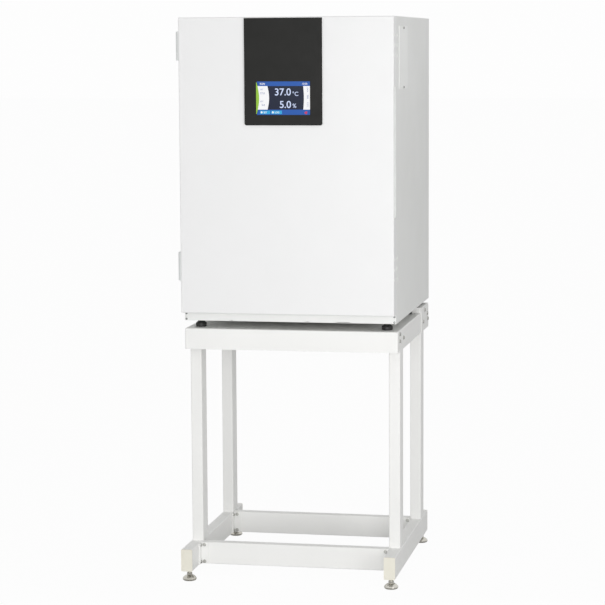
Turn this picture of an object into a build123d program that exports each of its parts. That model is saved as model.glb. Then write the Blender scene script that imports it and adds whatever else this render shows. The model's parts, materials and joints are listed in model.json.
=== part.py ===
from build123d import *
import os
from math import cos, radians, sin

os.makedirs("parts", exist_ok=True)

# Carbon dioxide incubator on a steel stand. X runs to the right, Y to the back, Z up, in millimetres.
# While the pieces are drawn, X = 0 is the cabinet's middle, Y = 0 the door's front, Z = 0 the floor.

# Cabinet and door
CABINET_W = 620.0
CABINET_D = 671.0
SHEET = 1.5
FOLD_W = 6.0
FOLD_R = 3.0
DOOR_T = 36.0
DOOR_H = 844.0
DOOR_GAP = 4.0
DOOR_EDGE_R = 3.0
PLINTH_H = 40.0
PLINTH_REVEAL = 26.4
CABINET_H = DOOR_H + PLINTH_REVEAL
SEAM = 0.5
FACE_Y = DOOR_T + DOOR_GAP
REAR_Y = FACE_Y + CABINET_D
HALF_W = CABINET_W / 2

# Stand
STAND_H = 739.3
FOOT_H = 33.0
RAIL_W = 33.0
RAIL_H = 65.0
TUBE_T = 2.0
TUBE_R = 3.0
DECK_OVER = 3.0
DECK_W = CABINET_W + 2 * DECK_OVER
DECK_FRONT_Y = 50.4
DECK_D = 461.6
DECK_H = 61.0
DECK_T = 2.0
DECK_R = 3.5
BASE_OVER = 2.0
BASE_W = DECK_W + 2 * BASE_OVER
BASE_FRONT_Y = -15.0
BASE_LENGTH = 660.0
END_CAP_T = 3.0
BEAM_OVER = 2.5
BEAM_W = DECK_W + 2 * BEAM_OVER
BEAM_D = 150.0
BEAM_H = 75.0
BEAM_RISE = 16.0
LEG_D = 60.0
LEG_SET_BACK = 55.6
CROSS_LEAD = 16.0
CROSS_STEP = 10.0
BOLT_HEAD_R = 5.5
BOLT_HEAD_H = 3.5
FRONT_LEG_Y = DECK_FRONT_Y + LEG_SET_BACK
CROSS_FRONT_Y = FRONT_LEG_Y - CROSS_LEAD
DECK_REAR_Y = DECK_FRONT_Y + DECK_D
CROSS_REAR_Y = DECK_REAR_Y + CROSS_STEP
BASE_TOP_Z = FOOT_H + RAIL_H

# Heights that follow from the stand and the cabinet's own feet
CABINET_FOOT_H = 24.3
CABINET_Z = STAND_H + CABINET_FOOT_H
TOP_Z = CABINET_Z + CABINET_H
DOOR_Z = TOP_Z - DOOR_H
DOOR_MID_Z = DOOR_Z + DOOR_H / 2

# Chamber: a seamless liner with a flange round its mouth
SIDE_WALL = 65.0
REAR_WALL = 122.0
ROOF_WALL = 107.0
CHAMBER_LIFT = 98.4
CHAMBER_R = 24.0
LINER_T = 1.0
MOUTH_SET_BACK = 26.0
MOUTH_RIM = 27.0
CHAMBER_W = CABINET_W - 2 * SIDE_WALL
CHAMBER_D = CABINET_D - MOUTH_SET_BACK - REAR_WALL
CHAMBER_H = CABINET_H - CHAMBER_LIFT - ROOF_WALL
MOUTH_Y = FACE_Y + MOUTH_SET_BACK
CHAMBER_Z = CABINET_Z + CHAMBER_LIFT
CHAMBER_TOP_Z = CHAMBER_Z + CHAMBER_H
CHAMBER_MID_Z = CHAMBER_Z + CHAMBER_H / 2
CHAMBER_REAR_Y = MOUTH_Y + CHAMBER_D
OPENING_HALF_W = CHAMBER_W / 2 + MOUTH_RIM
OPENING_H = CHAMBER_H + 2 * MOUTH_RIM

# Insulation and the heating mats pressed against the liner
TOP_INSULATION = 55.0
REAR_INSULATION = 50.0
SIDE_INSULATION_LIFT = 32.0
MAT_T = 1.2
MAT_MARGIN = 60.0

# Outer hinges, on the left edge
HINGE_OUT = 8.5
HINGE_IN_GAP = 2.0
HINGE_H = 81.0
KNUCKLE_R = 7.5
HINGE_PIN_R = 3.0
RUNNING_GAP = 0.05
LEAF_T = 3.0
LEAF_W = 25.0
LEAF_SET_BACK = 9.0
MIDDLE_KNUCKLE_H = 40.0
KNUCKLE_GAP = 0.4
UPPER_HINGE_DROP = 40.5
LOWER_HINGE_LIFT = 90.5
HINGE_X = -HALF_W - HINGE_OUT
HINGE_Y = FACE_Y - HINGE_IN_GAP
HINGE_LEVELS = (DOOR_Z + LOWER_HINGE_LIFT, TOP_Z - UPPER_HINGE_DROP - HINGE_H)

# Control panel and its screen, on the door
PANEL_W = 224.0
PANEL_H = 301.6
PANEL_T = 6.0
PANEL_WALL = 2.5
PANEL_X = -5.5
PANEL_DROP = 3.0
PANEL_CORNER_R = 6.0
SCREEN_W = 155.0
SCREEN_H = 94.0
SCREEN_T = 3.0
SCREEN_RECESS = 0.6
SCREEN_DROP = 181.0
SCREEN_MID_Z = TOP_Z - SCREEN_DROP - SCREEN_H / 2
SCREEN_X = PANEL_X

# Glass inner door
GLASS_T = 5.0
GLASS_OVERLAP = 12.0
INNER_GASKET_T = 4.0
INNER_GASKET_W = 7.0
INNER_PIN_R = 2.5
INNER_BOSS_R = 5.0
INNER_PIVOT_OUT = 6.5
INNER_PIVOT_RISE = 2.0
SEAT_GAP = 0.3
GLASS_BACK_Y = MOUTH_Y - INNER_GASKET_T - SEAT_GAP
GLASS_Y = GLASS_BACK_Y - GLASS_T
GLASS_HALF_W = CHAMBER_W / 2 + GLASS_OVERLAP
GLASS_H = CHAMBER_H + 2 * GLASS_OVERLAP
INNER_PIVOT_X = -GLASS_HALF_W - INNER_PIVOT_OUT
INNER_PIVOT_Y = GLASS_Y - INNER_PIVOT_RISE
KNOB_INSET = 18.0
KNOB_X = GLASS_HALF_W - KNOB_INSET

# Shelves, runners and posts
SHELF_COUNT = 3
SLOT_PITCH = 33.0
SHELF_PITCH = 5 * SLOT_PITCH
SHELF_FRONT_GAP = 22.0
SHELF_REAR_GAP = 61.0
SHELF_D = CHAMBER_D - SHELF_FRONT_GAP - SHELF_REAR_GAP
SHELF_T = 1.2
SHELF_LIP = 14.0
POST_DEPTH = 8.0
POST_W = 22.0
POST_T = 1.5
POST_INSET_Y = 62.0
POST_FOOT_GAP = 26.0
POST_HEAD_GAP = 39.0
POST_H = CHAMBER_H - POST_FOOT_GAP - POST_HEAD_GAP
RUNNER_T = 1.5
RUNNER_H = 22.0
LEDGE_W = 12.0
SHELF_SIDE_GAP = 1.0
RUNNER_X = CHAMBER_W / 2 - POST_DEPTH
SHELF_HALF_W = RUNNER_X - RUNNER_T - SHELF_SIDE_GAP
FRONT_POST_Y = MOUTH_Y + POST_INSET_Y
REAR_POST_Y = CHAMBER_REAR_Y - POST_INSET_Y
SHELF_Y = MOUTH_Y + SHELF_FRONT_GAP
SHELF_LEVELS = [CHAMBER_Z + SHELF_PITCH * (i + 1) for i in range(SHELF_COUNT)]

# Fan, duct and motor, in the middle of the chamber's ceiling
FAN_Y = MOUTH_Y + CHAMBER_D * 0.55
FAN_R = 62.0
FAN_H = 28.0
FAN_SHAFT_R = 4.0
SHAFT_HOLE_R = 7.0
DUCT_SIDE_GAP = 55.0
DUCT_END_GAP = 51.5
DUCT_W = CHAMBER_W - 2 * DUCT_SIDE_GAP
DUCT_D = CHAMBER_D - 2 * DUCT_END_GAP
DUCT_H = 48.0
MOTOR_R = 38.0
MOTOR_H = 42.0

# Things that pass through the rear wall
REAR_SLAB_Y = CHAMBER_REAR_Y + LINER_T + REAR_INSULATION
PORT_X = -130.0
PORT_DROP = 235.0
PORT_Z = CHAMBER_TOP_Z - PORT_DROP
PORT_R = 17.0
PORT_BORE_R = 15.0
PORT_FLANGE_R = 25.0
PORT_FLANGE_T = 4.0
STOPPER_HEAD = 12.0
GAS_X = 170.0
GAS_DROP = 195.0
GAS_Z = CHAMBER_TOP_Z - GAS_DROP
GAS_TUBE_R = 4.0
NIPPLE_R = 4.0
NIPPLE_L = 20.0
GAS_NUT_R = 9.0
GAS_NUT_T = 6.0
CO2_SENSOR_X = 60.0
SENSOR_DROP = 110.0
CO2_SENSOR_Z = CHAMBER_TOP_Z - SENSOR_DROP
CO2_SENSOR_R = 12.0
PROBE_X = 110.0
PROBE_R = 3.0
INLET_X = 190.0
INLET_LIFT = 150.0
INLET_Z = CABINET_Z + INLET_LIFT
INLET_W = 50.0
INLET_H = 74.0
INLET_RIM = 4.0
ROCKER_W = 14.0
ROCKER_H = 24.0
ROCKER_TILT = 8.0

# Adjustable feet
FOOT_STEM_R = 6.0
FOOT_DOME_R = 20.4
FOOT_DOME_H = 16.0
FOOT_SOLE_R = 15.5
FOOT_RIM_Z = 6.0
FOOT_SHOULDER_R = FOOT_STEM_R + 2.0
FOOT_BOSS_R = 11.0
FOOT_BOSS_H = 22.0
FOOT_FRONT_INSET = 31.0
FOOT_REAR_INSET = 22.0
FOOT_FRONT_Y = BASE_FRONT_Y + FOOT_FRONT_INSET
FOOT_REAR_Y = BASE_FRONT_Y + BASE_LENGTH - FOOT_REAR_INSET
CABINET_FOOT_R = 16.0
CABINET_FOOT_INSET = 35.0
CABINET_FOOT_X = HALF_W - CABINET_FOOT_INSET
CABINET_FOOT_YS = (DECK_FRONT_Y + 47.6, DECK_REAR_Y - 34.0)
FOOT_STUD_R = 5.0

# The part's own origin is the middle of its box, on the floor
BOX_LEFT = HINGE_X - KNUCKLE_R
BOX_RIGHT = max(BEAM_W / 2 + BOLT_HEAD_H, BASE_W / 2)
BOX_FRONT = BASE_FRONT_Y - END_CAP_T
BOX_REAR = REAR_Y + max(PORT_FLANGE_T + STOPPER_HEAD, GAS_NUT_T + NIPPLE_L)
TO_ORIGIN = Location((-(BOX_LEFT + BOX_RIGHT) / 2, -(BOX_FRONT + BOX_REAR) / 2, 0))


def level(z):
    """A horizontal drawing plane: sketches are in X and Y, and extrude goes up."""
    return Plane.XY.offset(z)


def wall(y):
    """An upright drawing plane: sketches are in X and Z, and a negative extrude goes to the back."""
    return Plane(origin=(0, y, 0), x_dir=(1, 0, 0), z_dir=(0, -1, 0))


def side(x):
    """A drawing plane seen from the right: sketches are in Y and Z, and extrude goes to the right."""
    return Plane.YZ.offset(x)


def patch(low_a, high_a, low_b, high_b, mode=Mode.ADD):
    """A rectangle in the current sketch from its lowest to its highest corner."""
    with Locations(((low_a + high_a) / 2, (low_b + high_b) / 2)):
        Rectangle(high_a - low_a, high_b - low_b, mode=mode)


def save(piece, name):
    """Label a finished piece and write it in the part's own frame."""
    piece.part.label = name
    export_step(piece.part.moved(TO_ORIGIN), f"parts/{name}.step")


# Stand top: one steel sheet folded down on all four sides
with BuildPart() as stand_top:
    with BuildSketch(level(STAND_H - DECK_H)):
        patch(-DECK_W / 2, DECK_W / 2, DECK_FRONT_Y, DECK_REAR_Y)
    extrude(amount=DECK_H)
    fillet(stand_top.edges().filter_by(Axis.Z), DECK_R)
    fillet(stand_top.faces().sort_by(Axis.Z)[-1].edges(), DECK_R)
    offset(amount=-DECK_T, openings=stand_top.faces().sort_by(Axis.Z)[0])
save(stand_top, "stand_top")

# Rear beam: a folded channel that stands up behind the deck and keeps the cabinet from sliding off
BEAM_TOP_Z = STAND_H + BEAM_RISE
BEAM_REAR_Y = DECK_REAR_Y + BEAM_D
BEAM_EDGE_R = 12.0
BEAM_SLOT_W = 8.0
BEAM_SLOT_PITCH = 34.0
BEAM_SLOT_L = BEAM_W - 60.0
with BuildPart() as stand_rear_beam:
    with BuildSketch(side(-BEAM_W / 2)) as beam_outline:
        patch(DECK_REAR_Y, BEAM_REAR_Y, BEAM_TOP_Z - BEAM_H, BEAM_TOP_Z)
        fillet(beam_outline.vertices().group_by(Axis.Y)[-1].sort_by(Axis.X)[-1], BEAM_EDGE_R)
    extrude(amount=BEAM_W)
    offset(amount=-DECK_T, openings=stand_rear_beam.faces().sort_by(Axis.Z)[0])
    with BuildSketch(level(BEAM_TOP_Z - BEAM_H)):
        for sign in (-1, 1):
            leg_x = sign * (BEAM_W / 2 - DECK_T - RAIL_W / 2)
            patch(leg_x - RAIL_W / 2, leg_x + RAIL_W / 2, DECK_REAR_Y, DECK_REAR_Y + DECK_T)
    extrude(amount=BEAM_H - DECK_T, mode=Mode.SUBTRACT)
    with BuildSketch(level(BEAM_TOP_Z - DECK_T)):
        with Locations((0, (DECK_REAR_Y + BEAM_REAR_Y) / 2)):
            with GridLocations(0, BEAM_SLOT_PITCH, 1, 3):
                Rectangle(BEAM_SLOT_L, BEAM_SLOT_W)
    extrude(amount=DECK_T, mode=Mode.SUBTRACT)
save(stand_rear_beam, "stand_rear_beam")


def tube_section(width, depth):
    """The section of a rectangular steel tube, added to the current sketch."""
    RectangleRounded(width, depth, TUBE_R)
    RectangleRounded(width - 2 * TUBE_T, depth - 2 * TUBE_T, TUBE_R - TUBE_T, mode=Mode.SUBTRACT)


# Legs: rectangular tubes from the base rails up into the folded top and the rear beam
FRONT_LEG_X = DECK_W / 2 - DECK_T - RAIL_W / 2
REAR_LEG_X = BEAM_W / 2 - DECK_T - RAIL_W / 2
with BuildPart() as stand_legs:
    with BuildSketch(level(BASE_TOP_Z)):
        with Locations([(sign * FRONT_LEG_X, FRONT_LEG_Y + LEG_D / 2) for sign in (-1, 1)]):
            tube_section(RAIL_W, LEG_D)
    extrude(amount=STAND_H - DECK_R - BASE_TOP_Z)
    with BuildSketch(level(BASE_TOP_Z)):
        with Locations([(sign * REAR_LEG_X, DECK_REAR_Y + LEG_D / 2) for sign in (-1, 1)]):
            tube_section(RAIL_W, LEG_D)
    extrude(amount=BEAM_TOP_Z - DECK_T - BASE_TOP_Z)
save(stand_legs, "stand_legs")

# Base side rails: tubes from front to back, with a threaded boss inside for each foot
BASE_RAIL_X = BASE_W / 2 - RAIL_W / 2
with BuildPart() as base_side_rails:
    with BuildSketch(wall(BASE_FRONT_Y)):
        with Locations([(sign * BASE_RAIL_X, FOOT_H + RAIL_H / 2) for sign in (-1, 1)]):
            tube_section(RAIL_W, RAIL_H)
    extrude(amount=-BASE_LENGTH)
    with BuildSketch(level(FOOT_H + TUBE_T / 2)):
        for sign in (-1, 1):
            with Locations((sign * BASE_RAIL_X, FOOT_FRONT_Y), (sign * BASE_RAIL_X, FOOT_REAR_Y)):
                Circle(FOOT_BOSS_R)
    extrude(amount=FOOT_BOSS_H)
    with BuildSketch(level(FOOT_H - TUBE_T)):
        for sign in (-1, 1):
            with Locations((sign * BASE_RAIL_X, FOOT_FRONT_Y), (sign * BASE_RAIL_X, FOOT_REAR_Y)):
                Circle(FOOT_STEM_R + RUNNING_GAP)
    extrude(amount=FOOT_BOSS_H + 2 * TUBE_T, mode=Mode.SUBTRACT)
save(base_side_rails, "base_side_rails")

# Base cross rails: two tubes between the side rails, flush with their tops
CROSS_T = 30.0
CROSS_HALF_L = BASE_RAIL_X - RAIL_W / 2
with BuildPart() as base_cross_rails:
    with BuildSketch(side(-CROSS_HALF_L)):
        with Locations([(y + CROSS_T / 2, FOOT_H + RAIL_H / 2) for y in (CROSS_FRONT_Y, CROSS_REAR_Y)]):
            tube_section(CROSS_T, RAIL_H)
    extrude(amount=2 * CROSS_HALF_L)
save(base_cross_rails, "base_cross_rails")

# End caps: cream plastic plugs pushed into both ends of each side rail
CAP_FIT = 0.2
CAP_PLUG_L = 10.0
CAP_PLUG_R = 1.0
with BuildPart() as rail_end_caps:
    for sign in (-1, 1):
        for y, plug_y in ((BASE_FRONT_Y - END_CAP_T, BASE_FRONT_Y),
                          (BASE_FRONT_Y + BASE_LENGTH, BASE_FRONT_Y + BASE_LENGTH - CAP_PLUG_L)):
            with BuildSketch(wall(y)):
                with Locations((sign * BASE_RAIL_X, FOOT_H + RAIL_H / 2)):
                    RectangleRounded(RAIL_W, RAIL_H, TUBE_R)
            extrude(amount=-END_CAP_T)
            with BuildSketch(wall(plug_y)):
                with Locations((sign * BASE_RAIL_X, FOOT_H + RAIL_H / 2)):
                    RectangleRounded(RAIL_W - 2 * (TUBE_T + CAP_FIT), RAIL_H - 2 * (TUBE_T + CAP_FIT), CAP_PLUG_R)
            extrude(amount=-CAP_PLUG_L)
save(rail_end_caps, "rail_end_caps")

# Brackets: angles where the cross rails meet the side rails, and gusset plates inside the top's corners
BRACKET_T = 3.0
BRACKET_ARM = 24.0
BRACKET_H = 61.0
GUSSET_H = 50.0
GUSSET_X = DECK_W / 2 - DECK_T
BRACKET_Z = FOOT_H + (RAIL_H - BRACKET_H) / 2
CROSS_FACES = ((CROSS_FRONT_Y, -1), (CROSS_FRONT_Y + CROSS_T, 1), (CROSS_REAR_Y, -1), (CROSS_REAR_Y + CROSS_T, 1))
with BuildPart() as stand_brackets:
    with BuildSketch(level(BRACKET_Z)):
        for sign in (-1, 1):
            for y, out in CROSS_FACES:
                corner_x = sign * CROSS_HALF_L
                xs = sorted((corner_x, corner_x - sign * BRACKET_ARM))
                ys = sorted((y, y + out * BRACKET_ARM))
                patch(*xs, *ys)
                inner_xs = sorted((corner_x - sign * BRACKET_T, corner_x - sign * (BRACKET_ARM + BRACKET_T)))
                inner_ys = sorted((y + out * BRACKET_T, y + out * (BRACKET_ARM + BRACKET_T)))
                patch(*inner_xs, *inner_ys, mode=Mode.SUBTRACT)
    extrude(amount=BRACKET_H)
    with BuildSketch(level(STAND_H - DECK_R - GUSSET_H)):
        for sign in (-1, 1):
            xs = sorted((sign * GUSSET_X, sign * (GUSSET_X - BRACKET_T)))
            patch(*xs, DECK_FRONT_Y + DECK_R, FRONT_LEG_Y)
    extrude(amount=GUSSET_H)
save(stand_brackets, "stand_brackets")

# Bolts: hexagon heads on the outside of the top, the beam and the base brackets
FRONT_BOLTS = ((36.6, 10.1), (35.6, 30.7), (106.8, 29.0))
REAR_BOLTS = ((32.7, 46.3), (67.7, 13.6), (121.1, 30.3), (132.4, 47.9))
BASE_BOLT_R = 4.0
BASE_BOLT_H = 2.8
BOLT_SPREAD = 50.0
BRACKET_BOLT_OUT = 11.5
with BuildPart() as stand_bolts:
    for sign in (-1, 1):
        with BuildSketch(side(sign * DECK_W / 2)):
            with Locations([(DECK_FRONT_Y + along, STAND_H - drop) for along, drop in FRONT_BOLTS]):
                RegularPolygon(BOLT_HEAD_R, 6)
        extrude(amount=sign * BOLT_HEAD_H)
        with BuildSketch(side(sign * BEAM_W / 2)):
            with Locations([(DECK_REAR_Y + along, BEAM_TOP_Z - drop) for along, drop in REAR_BOLTS]):
                RegularPolygon(BOLT_HEAD_R, 6)
        extrude(amount=sign * BOLT_HEAD_H)
        for y, out in CROSS_FACES:
            with BuildSketch(wall(y + out * BRACKET_T)):
                with Locations((sign * (CROSS_HALF_L - BRACKET_BOLT_OUT), FOOT_H + RAIL_H / 2)):
                    with GridLocations(0, BOLT_SPREAD, 1, 2):
                        RegularPolygon(BASE_BOLT_R, 6)
            extrude(amount=-out * BASE_BOLT_H)
            with BuildSketch(side(sign * (CROSS_HALF_L - BRACKET_T))):
                with Locations((y + out * BRACKET_BOLT_OUT, FOOT_H + RAIL_H / 2)):
                    with GridLocations(0, BOLT_SPREAD, 1, 2):
                        RegularPolygon(BASE_BOLT_R, 6)
            extrude(amount=-sign * BASE_BOLT_H)
save(stand_bolts, "stand_bolts")

# Levelling feet of the stand: a nickel-plated dome on a threaded stem with a lock nut
FOOT_NUT_R = 9.0
FOOT_NUT_H = 6.0
STEM_OVER_BOSS = 4.0
FOOT_STEM_TOP = FOOT_H + FOOT_BOSS_H + STEM_OVER_BOSS
FOOT_UNDER = (19.2, 2.0)
FOOT_CROWN = (16.4, 11.8)
SPANNER_H = 7.0
for row, foot_y in (("front", FOOT_FRONT_Y), ("rear", FOOT_REAR_Y)):
    for hand, sign in (("left", -1), ("right", 1)):
        foot_x = sign * BASE_RAIL_X
        with BuildPart() as stand_foot:
            with BuildSketch(Plane(origin=(foot_x, foot_y, 0), x_dir=(1, 0, 0), z_dir=(0, -1, 0))):
                with BuildLine():
                    Line((0, 0), (FOOT_SOLE_R, 0))
                    ThreePointArc((FOOT_SOLE_R, 0), FOOT_UNDER, (FOOT_DOME_R, FOOT_RIM_Z))
                    ThreePointArc((FOOT_DOME_R, FOOT_RIM_Z), FOOT_CROWN, (FOOT_SHOULDER_R, FOOT_DOME_H))
                    Polyline((FOOT_SHOULDER_R, FOOT_DOME_H), (FOOT_STEM_R, FOOT_DOME_H),
                             (FOOT_STEM_R, FOOT_STEM_TOP), (0, FOOT_STEM_TOP), (0, 0))
                make_face()
            revolve(axis=Axis((foot_x, foot_y, 0), (0, 0, 1)))
            with BuildSketch(level(FOOT_H - SEAT_GAP - FOOT_NUT_H)):
                with Locations((foot_x, foot_y)):
                    RegularPolygon(FOOT_NUT_R, 6)
            extrude(amount=FOOT_NUT_H)
            with BuildSketch(level(FOOT_DOME_H)):
                with Locations((foot_x, foot_y)):
                    RegularPolygon(FOOT_SHOULDER_R, 6)
            extrude(amount=SPANNER_H)
        save(stand_foot, f"stand_foot_{row}_{hand}")

# Cabinet base pan: the steel floor with the plinth folded up in front and weld nuts for the feet
WELD_NUT_R = 10.0
WELD_NUT_H = 12.0
PLINTH_NOTCHES = ((-171.5, 8.0), (52.7, 8.0), (156.0, 40.0))
NOTCH_H = 3.0
PAN_HALF_W = HALF_W - FOLD_W - SEAM
CABINET_FEET = [(sign * CABINET_FOOT_X, y) for y in CABINET_FOOT_YS for sign in (-1, 1)]
with BuildPart() as base_pan:
    with BuildSketch(side(-PAN_HALF_W)):
        patch(FACE_Y, REAR_Y - SHEET, CABINET_Z, CABINET_Z + PLINTH_H)
        patch(FACE_Y + SHEET, REAR_Y, CABINET_Z + SHEET, CABINET_Z + PLINTH_H + SHEET, mode=Mode.SUBTRACT)
    extrude(amount=2 * PAN_HALF_W)
    fillet(base_pan.edges().filter_by(Axis.X).group_by(Axis.Z)[0].sort_by(Axis.Y)[0], SHEET)
    with BuildSketch(level(CABINET_Z)):
        with Locations(CABINET_FEET):
            Circle(WELD_NUT_R)
    extrude(amount=WELD_NUT_H)
    with BuildSketch(level(CABINET_Z)):
        with Locations(CABINET_FEET):
            Circle(FOOT_STUD_R + RUNNING_GAP)
    extrude(amount=WELD_NUT_H, mode=Mode.SUBTRACT)
    with BuildSketch(wall(FACE_Y)):
        for x, notch_w in PLINTH_NOTCHES:
            patch(x - notch_w / 2, x + notch_w / 2, CABINET_Z, CABINET_Z + NOTCH_H)
    extrude(amount=-SHEET, mode=Mode.SUBTRACT)
save(base_pan, "base_pan")

# Cabinet feet: black plastic discs on threaded studs
FOOT_DISC_H = 12.5
FOOT_DISC_EDGE = 2.0
FOOT_NECK_H = 18.0
FOOT_NECK_R = 8.0
STUD_OVER_NUT = 3.0
STUD_TOP_Z = CABINET_Z + WELD_NUT_H + STUD_OVER_NUT
for row, foot_y in (("front", CABINET_FOOT_YS[0]), ("rear", CABINET_FOOT_YS[1])):
    for hand, sign in (("left", -1), ("right", 1)):
        foot_x = sign * CABINET_FOOT_X
        with BuildPart() as cabinet_foot:
            with BuildSketch(Plane(origin=(foot_x, foot_y, STAND_H), x_dir=(1, 0, 0), z_dir=(0, -1, 0))):
                with BuildLine():
                    Polyline((0, SEAT_GAP), (CABINET_FOOT_R - FOOT_DISC_EDGE, SEAT_GAP),
                             (CABINET_FOOT_R, FOOT_DISC_EDGE), (CABINET_FOOT_R, FOOT_DISC_H - FOOT_DISC_EDGE),
                             (CABINET_FOOT_R - FOOT_DISC_EDGE, FOOT_DISC_H), (FOOT_NECK_R, FOOT_NECK_H),
                             (FOOT_STUD_R, FOOT_NECK_H), (FOOT_STUD_R, STUD_TOP_Z - STAND_H),
                             (0, STUD_TOP_Z - STAND_H), (0, SEAT_GAP))
                make_face()
            revolve(axis=Axis((foot_x, foot_y, 0), (0, 0, 1)))
        save(cabinet_foot, f"cabinet_foot_{row}_{hand}")


def side_panel(sign):
    """A side of the casing: one sheet with its front and rear edges folded in."""
    outer_x = sign * HALF_W
    with BuildPart() as panel:
        with BuildSketch(level(CABINET_Z)) as plan:
            xs = sorted((outer_x, outer_x - sign * FOLD_W))
            patch(*xs, FACE_Y, REAR_Y)
            fillet(plan.vertices().group_by(Axis.X)[-1 if sign > 0 else 0], FOLD_R)
            with BuildSketch(mode=Mode.SUBTRACT) as hollow:
                xs = sorted((outer_x - sign * SHEET, outer_x - sign * 2 * FOLD_W))
                patch(*xs, FACE_Y + SHEET, REAR_Y - SHEET)
                fillet(hollow.vertices().group_by(Axis.X)[-1 if sign > 0 else 0], FOLD_R - SHEET)
        extrude(amount=CABINET_H)
    return panel


# Side panels: the casing's left and right sheets
save(side_panel(-1), "side_panel_left")
save(side_panel(1), "side_panel_right")

# Top cover: a shallow tray between the side panels, with its front and rear edges folded down
COVER_FOLD = 12.0
COVER_HALF_W = HALF_W - SHEET - SEAM / 2
with BuildPart() as top_cover:
    with BuildSketch(side(-PAN_HALF_W)) as cover_outline:
        patch(FACE_Y, REAR_Y, TOP_Z - COVER_FOLD, TOP_Z)
        fillet(cover_outline.vertices().group_by(Axis.Y)[-1], FOLD_R)
        patch(FACE_Y + SHEET, REAR_Y - SHEET, TOP_Z - 2 * COVER_FOLD, TOP_Z - SHEET, mode=Mode.SUBTRACT)
    extrude(amount=2 * PAN_HALF_W)
    with BuildSketch(level(TOP_Z - SHEET)):
        patch(-COVER_HALF_W, COVER_HALF_W, FACE_Y + FOLD_R, REAR_Y - FOLD_R)
    extrude(amount=SHEET)
save(top_cover, "top_cover")

# Rear cover: a flat sheet with rows of cooling slots and pressed studs for the main board
REAR_COVER_Z = CABINET_Z + SHEET + SEAM
REAR_COVER_TOP = TOP_Z - COVER_FOLD - SEAM
STUD_R = 4.0
STUD_L = 10.0
BOARD_W = 180.0
BOARD_H = 130.0
BOARD_X = -160.0
BOARD_LIFT = 250.0
BOARD_Z = CABINET_Z + BOARD_LIFT
BOARD_INSET = 8.0
VENT_W = 70.0
VENT_H = 5.0
VENT_GAP = 20.0
VENT_PITCH = 15.0
VENT_COLUMNS = 2
VENT_ROWS = 4
LOWER_VENT_LIFT = 120.0
UPPER_VENT_DROP = 60.0
INLET_FIT = 0.3
with BuildPart() as rear_cover:
    with BuildSketch(wall(REAR_Y - SHEET)):
        patch(-PAN_HALF_W, PAN_HALF_W, REAR_COVER_Z, REAR_COVER_TOP)
        with Locations((PORT_X, PORT_Z)):
            Circle(PORT_R + INLET_FIT, mode=Mode.SUBTRACT)
        with Locations((GAS_X, GAS_Z)):
            Circle(NIPPLE_R + INLET_FIT, mode=Mode.SUBTRACT)
        with Locations((INLET_X, INLET_Z)):
            Rectangle(INLET_W - 2 * INLET_RIM, INLET_H - 2 * INLET_RIM, mode=Mode.SUBTRACT)
        with Locations((BOARD_X, CABINET_Z + LOWER_VENT_LIFT), (0, TOP_Z - UPPER_VENT_DROP)):
            with GridLocations(VENT_W + VENT_GAP, VENT_PITCH, VENT_COLUMNS, VENT_ROWS):
                Rectangle(VENT_W, VENT_H, mode=Mode.SUBTRACT)
    extrude(amount=-SHEET)
    with BuildSketch(wall(REAR_Y - SHEET - STUD_L)):
        with Locations((BOARD_X, BOARD_Z)):
            with GridLocations(BOARD_W - 2 * BOARD_INSET, BOARD_H - 2 * BOARD_INSET, 2, 2):
                Circle(STUD_R)
    extrude(amount=-STUD_L)
save(rear_cover, "rear_cover")

# Front frame: the steel face round the chamber's mouth, folded back to the liner's flange
FRAME_Z = CABINET_Z + PLINTH_H + SEAM
FRAME_TOP = TOP_Z - COVER_FOLD - SEAM
with BuildPart() as front_frame:
    with BuildSketch(wall(FACE_Y)):
        patch(-PAN_HALF_W, PAN_HALF_W, FRAME_Z, FRAME_TOP)
        with Locations((0, CHAMBER_MID_Z)):
            Rectangle(2 * OPENING_HALF_W, OPENING_H, mode=Mode.SUBTRACT)
    extrude(amount=-SHEET)
    with BuildSketch(wall(FACE_Y)):
        with Locations((0, CHAMBER_MID_Z)):
            Rectangle(2 * (OPENING_HALF_W + SHEET), OPENING_H + 2 * SHEET)
            Rectangle(2 * OPENING_HALF_W, OPENING_H, mode=Mode.SUBTRACT)
    extrude(amount=-(MOUTH_SET_BACK + LINER_T))
save(front_frame, "front_frame")

# Chamber liner: a stainless box with coved corners and a flange round its mouth
GAS_HOLE_R = GAS_TUBE_R + INLET_FIT
with BuildPart() as chamber_liner:
    with BuildSketch(wall(MOUTH_Y)):
        with Locations((0, CHAMBER_MID_Z)):
            RectangleRounded(CHAMBER_W + 2 * LINER_T, CHAMBER_H + 2 * LINER_T, CHAMBER_R + LINER_T)
    extrude(amount=-(CHAMBER_D + LINER_T))
    fillet(chamber_liner.faces().sort_by(Axis.Y)[-1].edges(), CHAMBER_R)
    offset(amount=-LINER_T, openings=chamber_liner.faces().sort_by(Axis.Y)[0])
    with BuildSketch(wall(MOUTH_Y)):
        with Locations((0, CHAMBER_MID_Z)):
            Rectangle(2 * OPENING_HALF_W, OPENING_H)
            RectangleRounded(CHAMBER_W, CHAMBER_H, CHAMBER_R, mode=Mode.SUBTRACT)
    extrude(amount=-LINER_T)
    with BuildSketch(wall(CHAMBER_REAR_Y - LINER_T)):
        with Locations((PORT_X, PORT_Z)):
            Circle(PORT_R + INLET_FIT)
        with Locations((GAS_X, GAS_Z)):
            Circle(GAS_HOLE_R)
        with Locations((CO2_SENSOR_X, CO2_SENSOR_Z)):
            Circle(CO2_SENSOR_R + INLET_FIT)
        with Locations((PROBE_X, CO2_SENSOR_Z)):
            Circle(PROBE_R + INLET_FIT)
    extrude(amount=-3 * LINER_T, mode=Mode.SUBTRACT)
    with BuildSketch(level(CHAMBER_TOP_Z - LINER_T)):
        with Locations((0, FAN_Y)):
            Circle(SHAFT_HOLE_R)
    extrude(amount=3 * LINER_T, mode=Mode.SUBTRACT)
save(chamber_liner, "chamber_liner")

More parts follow.
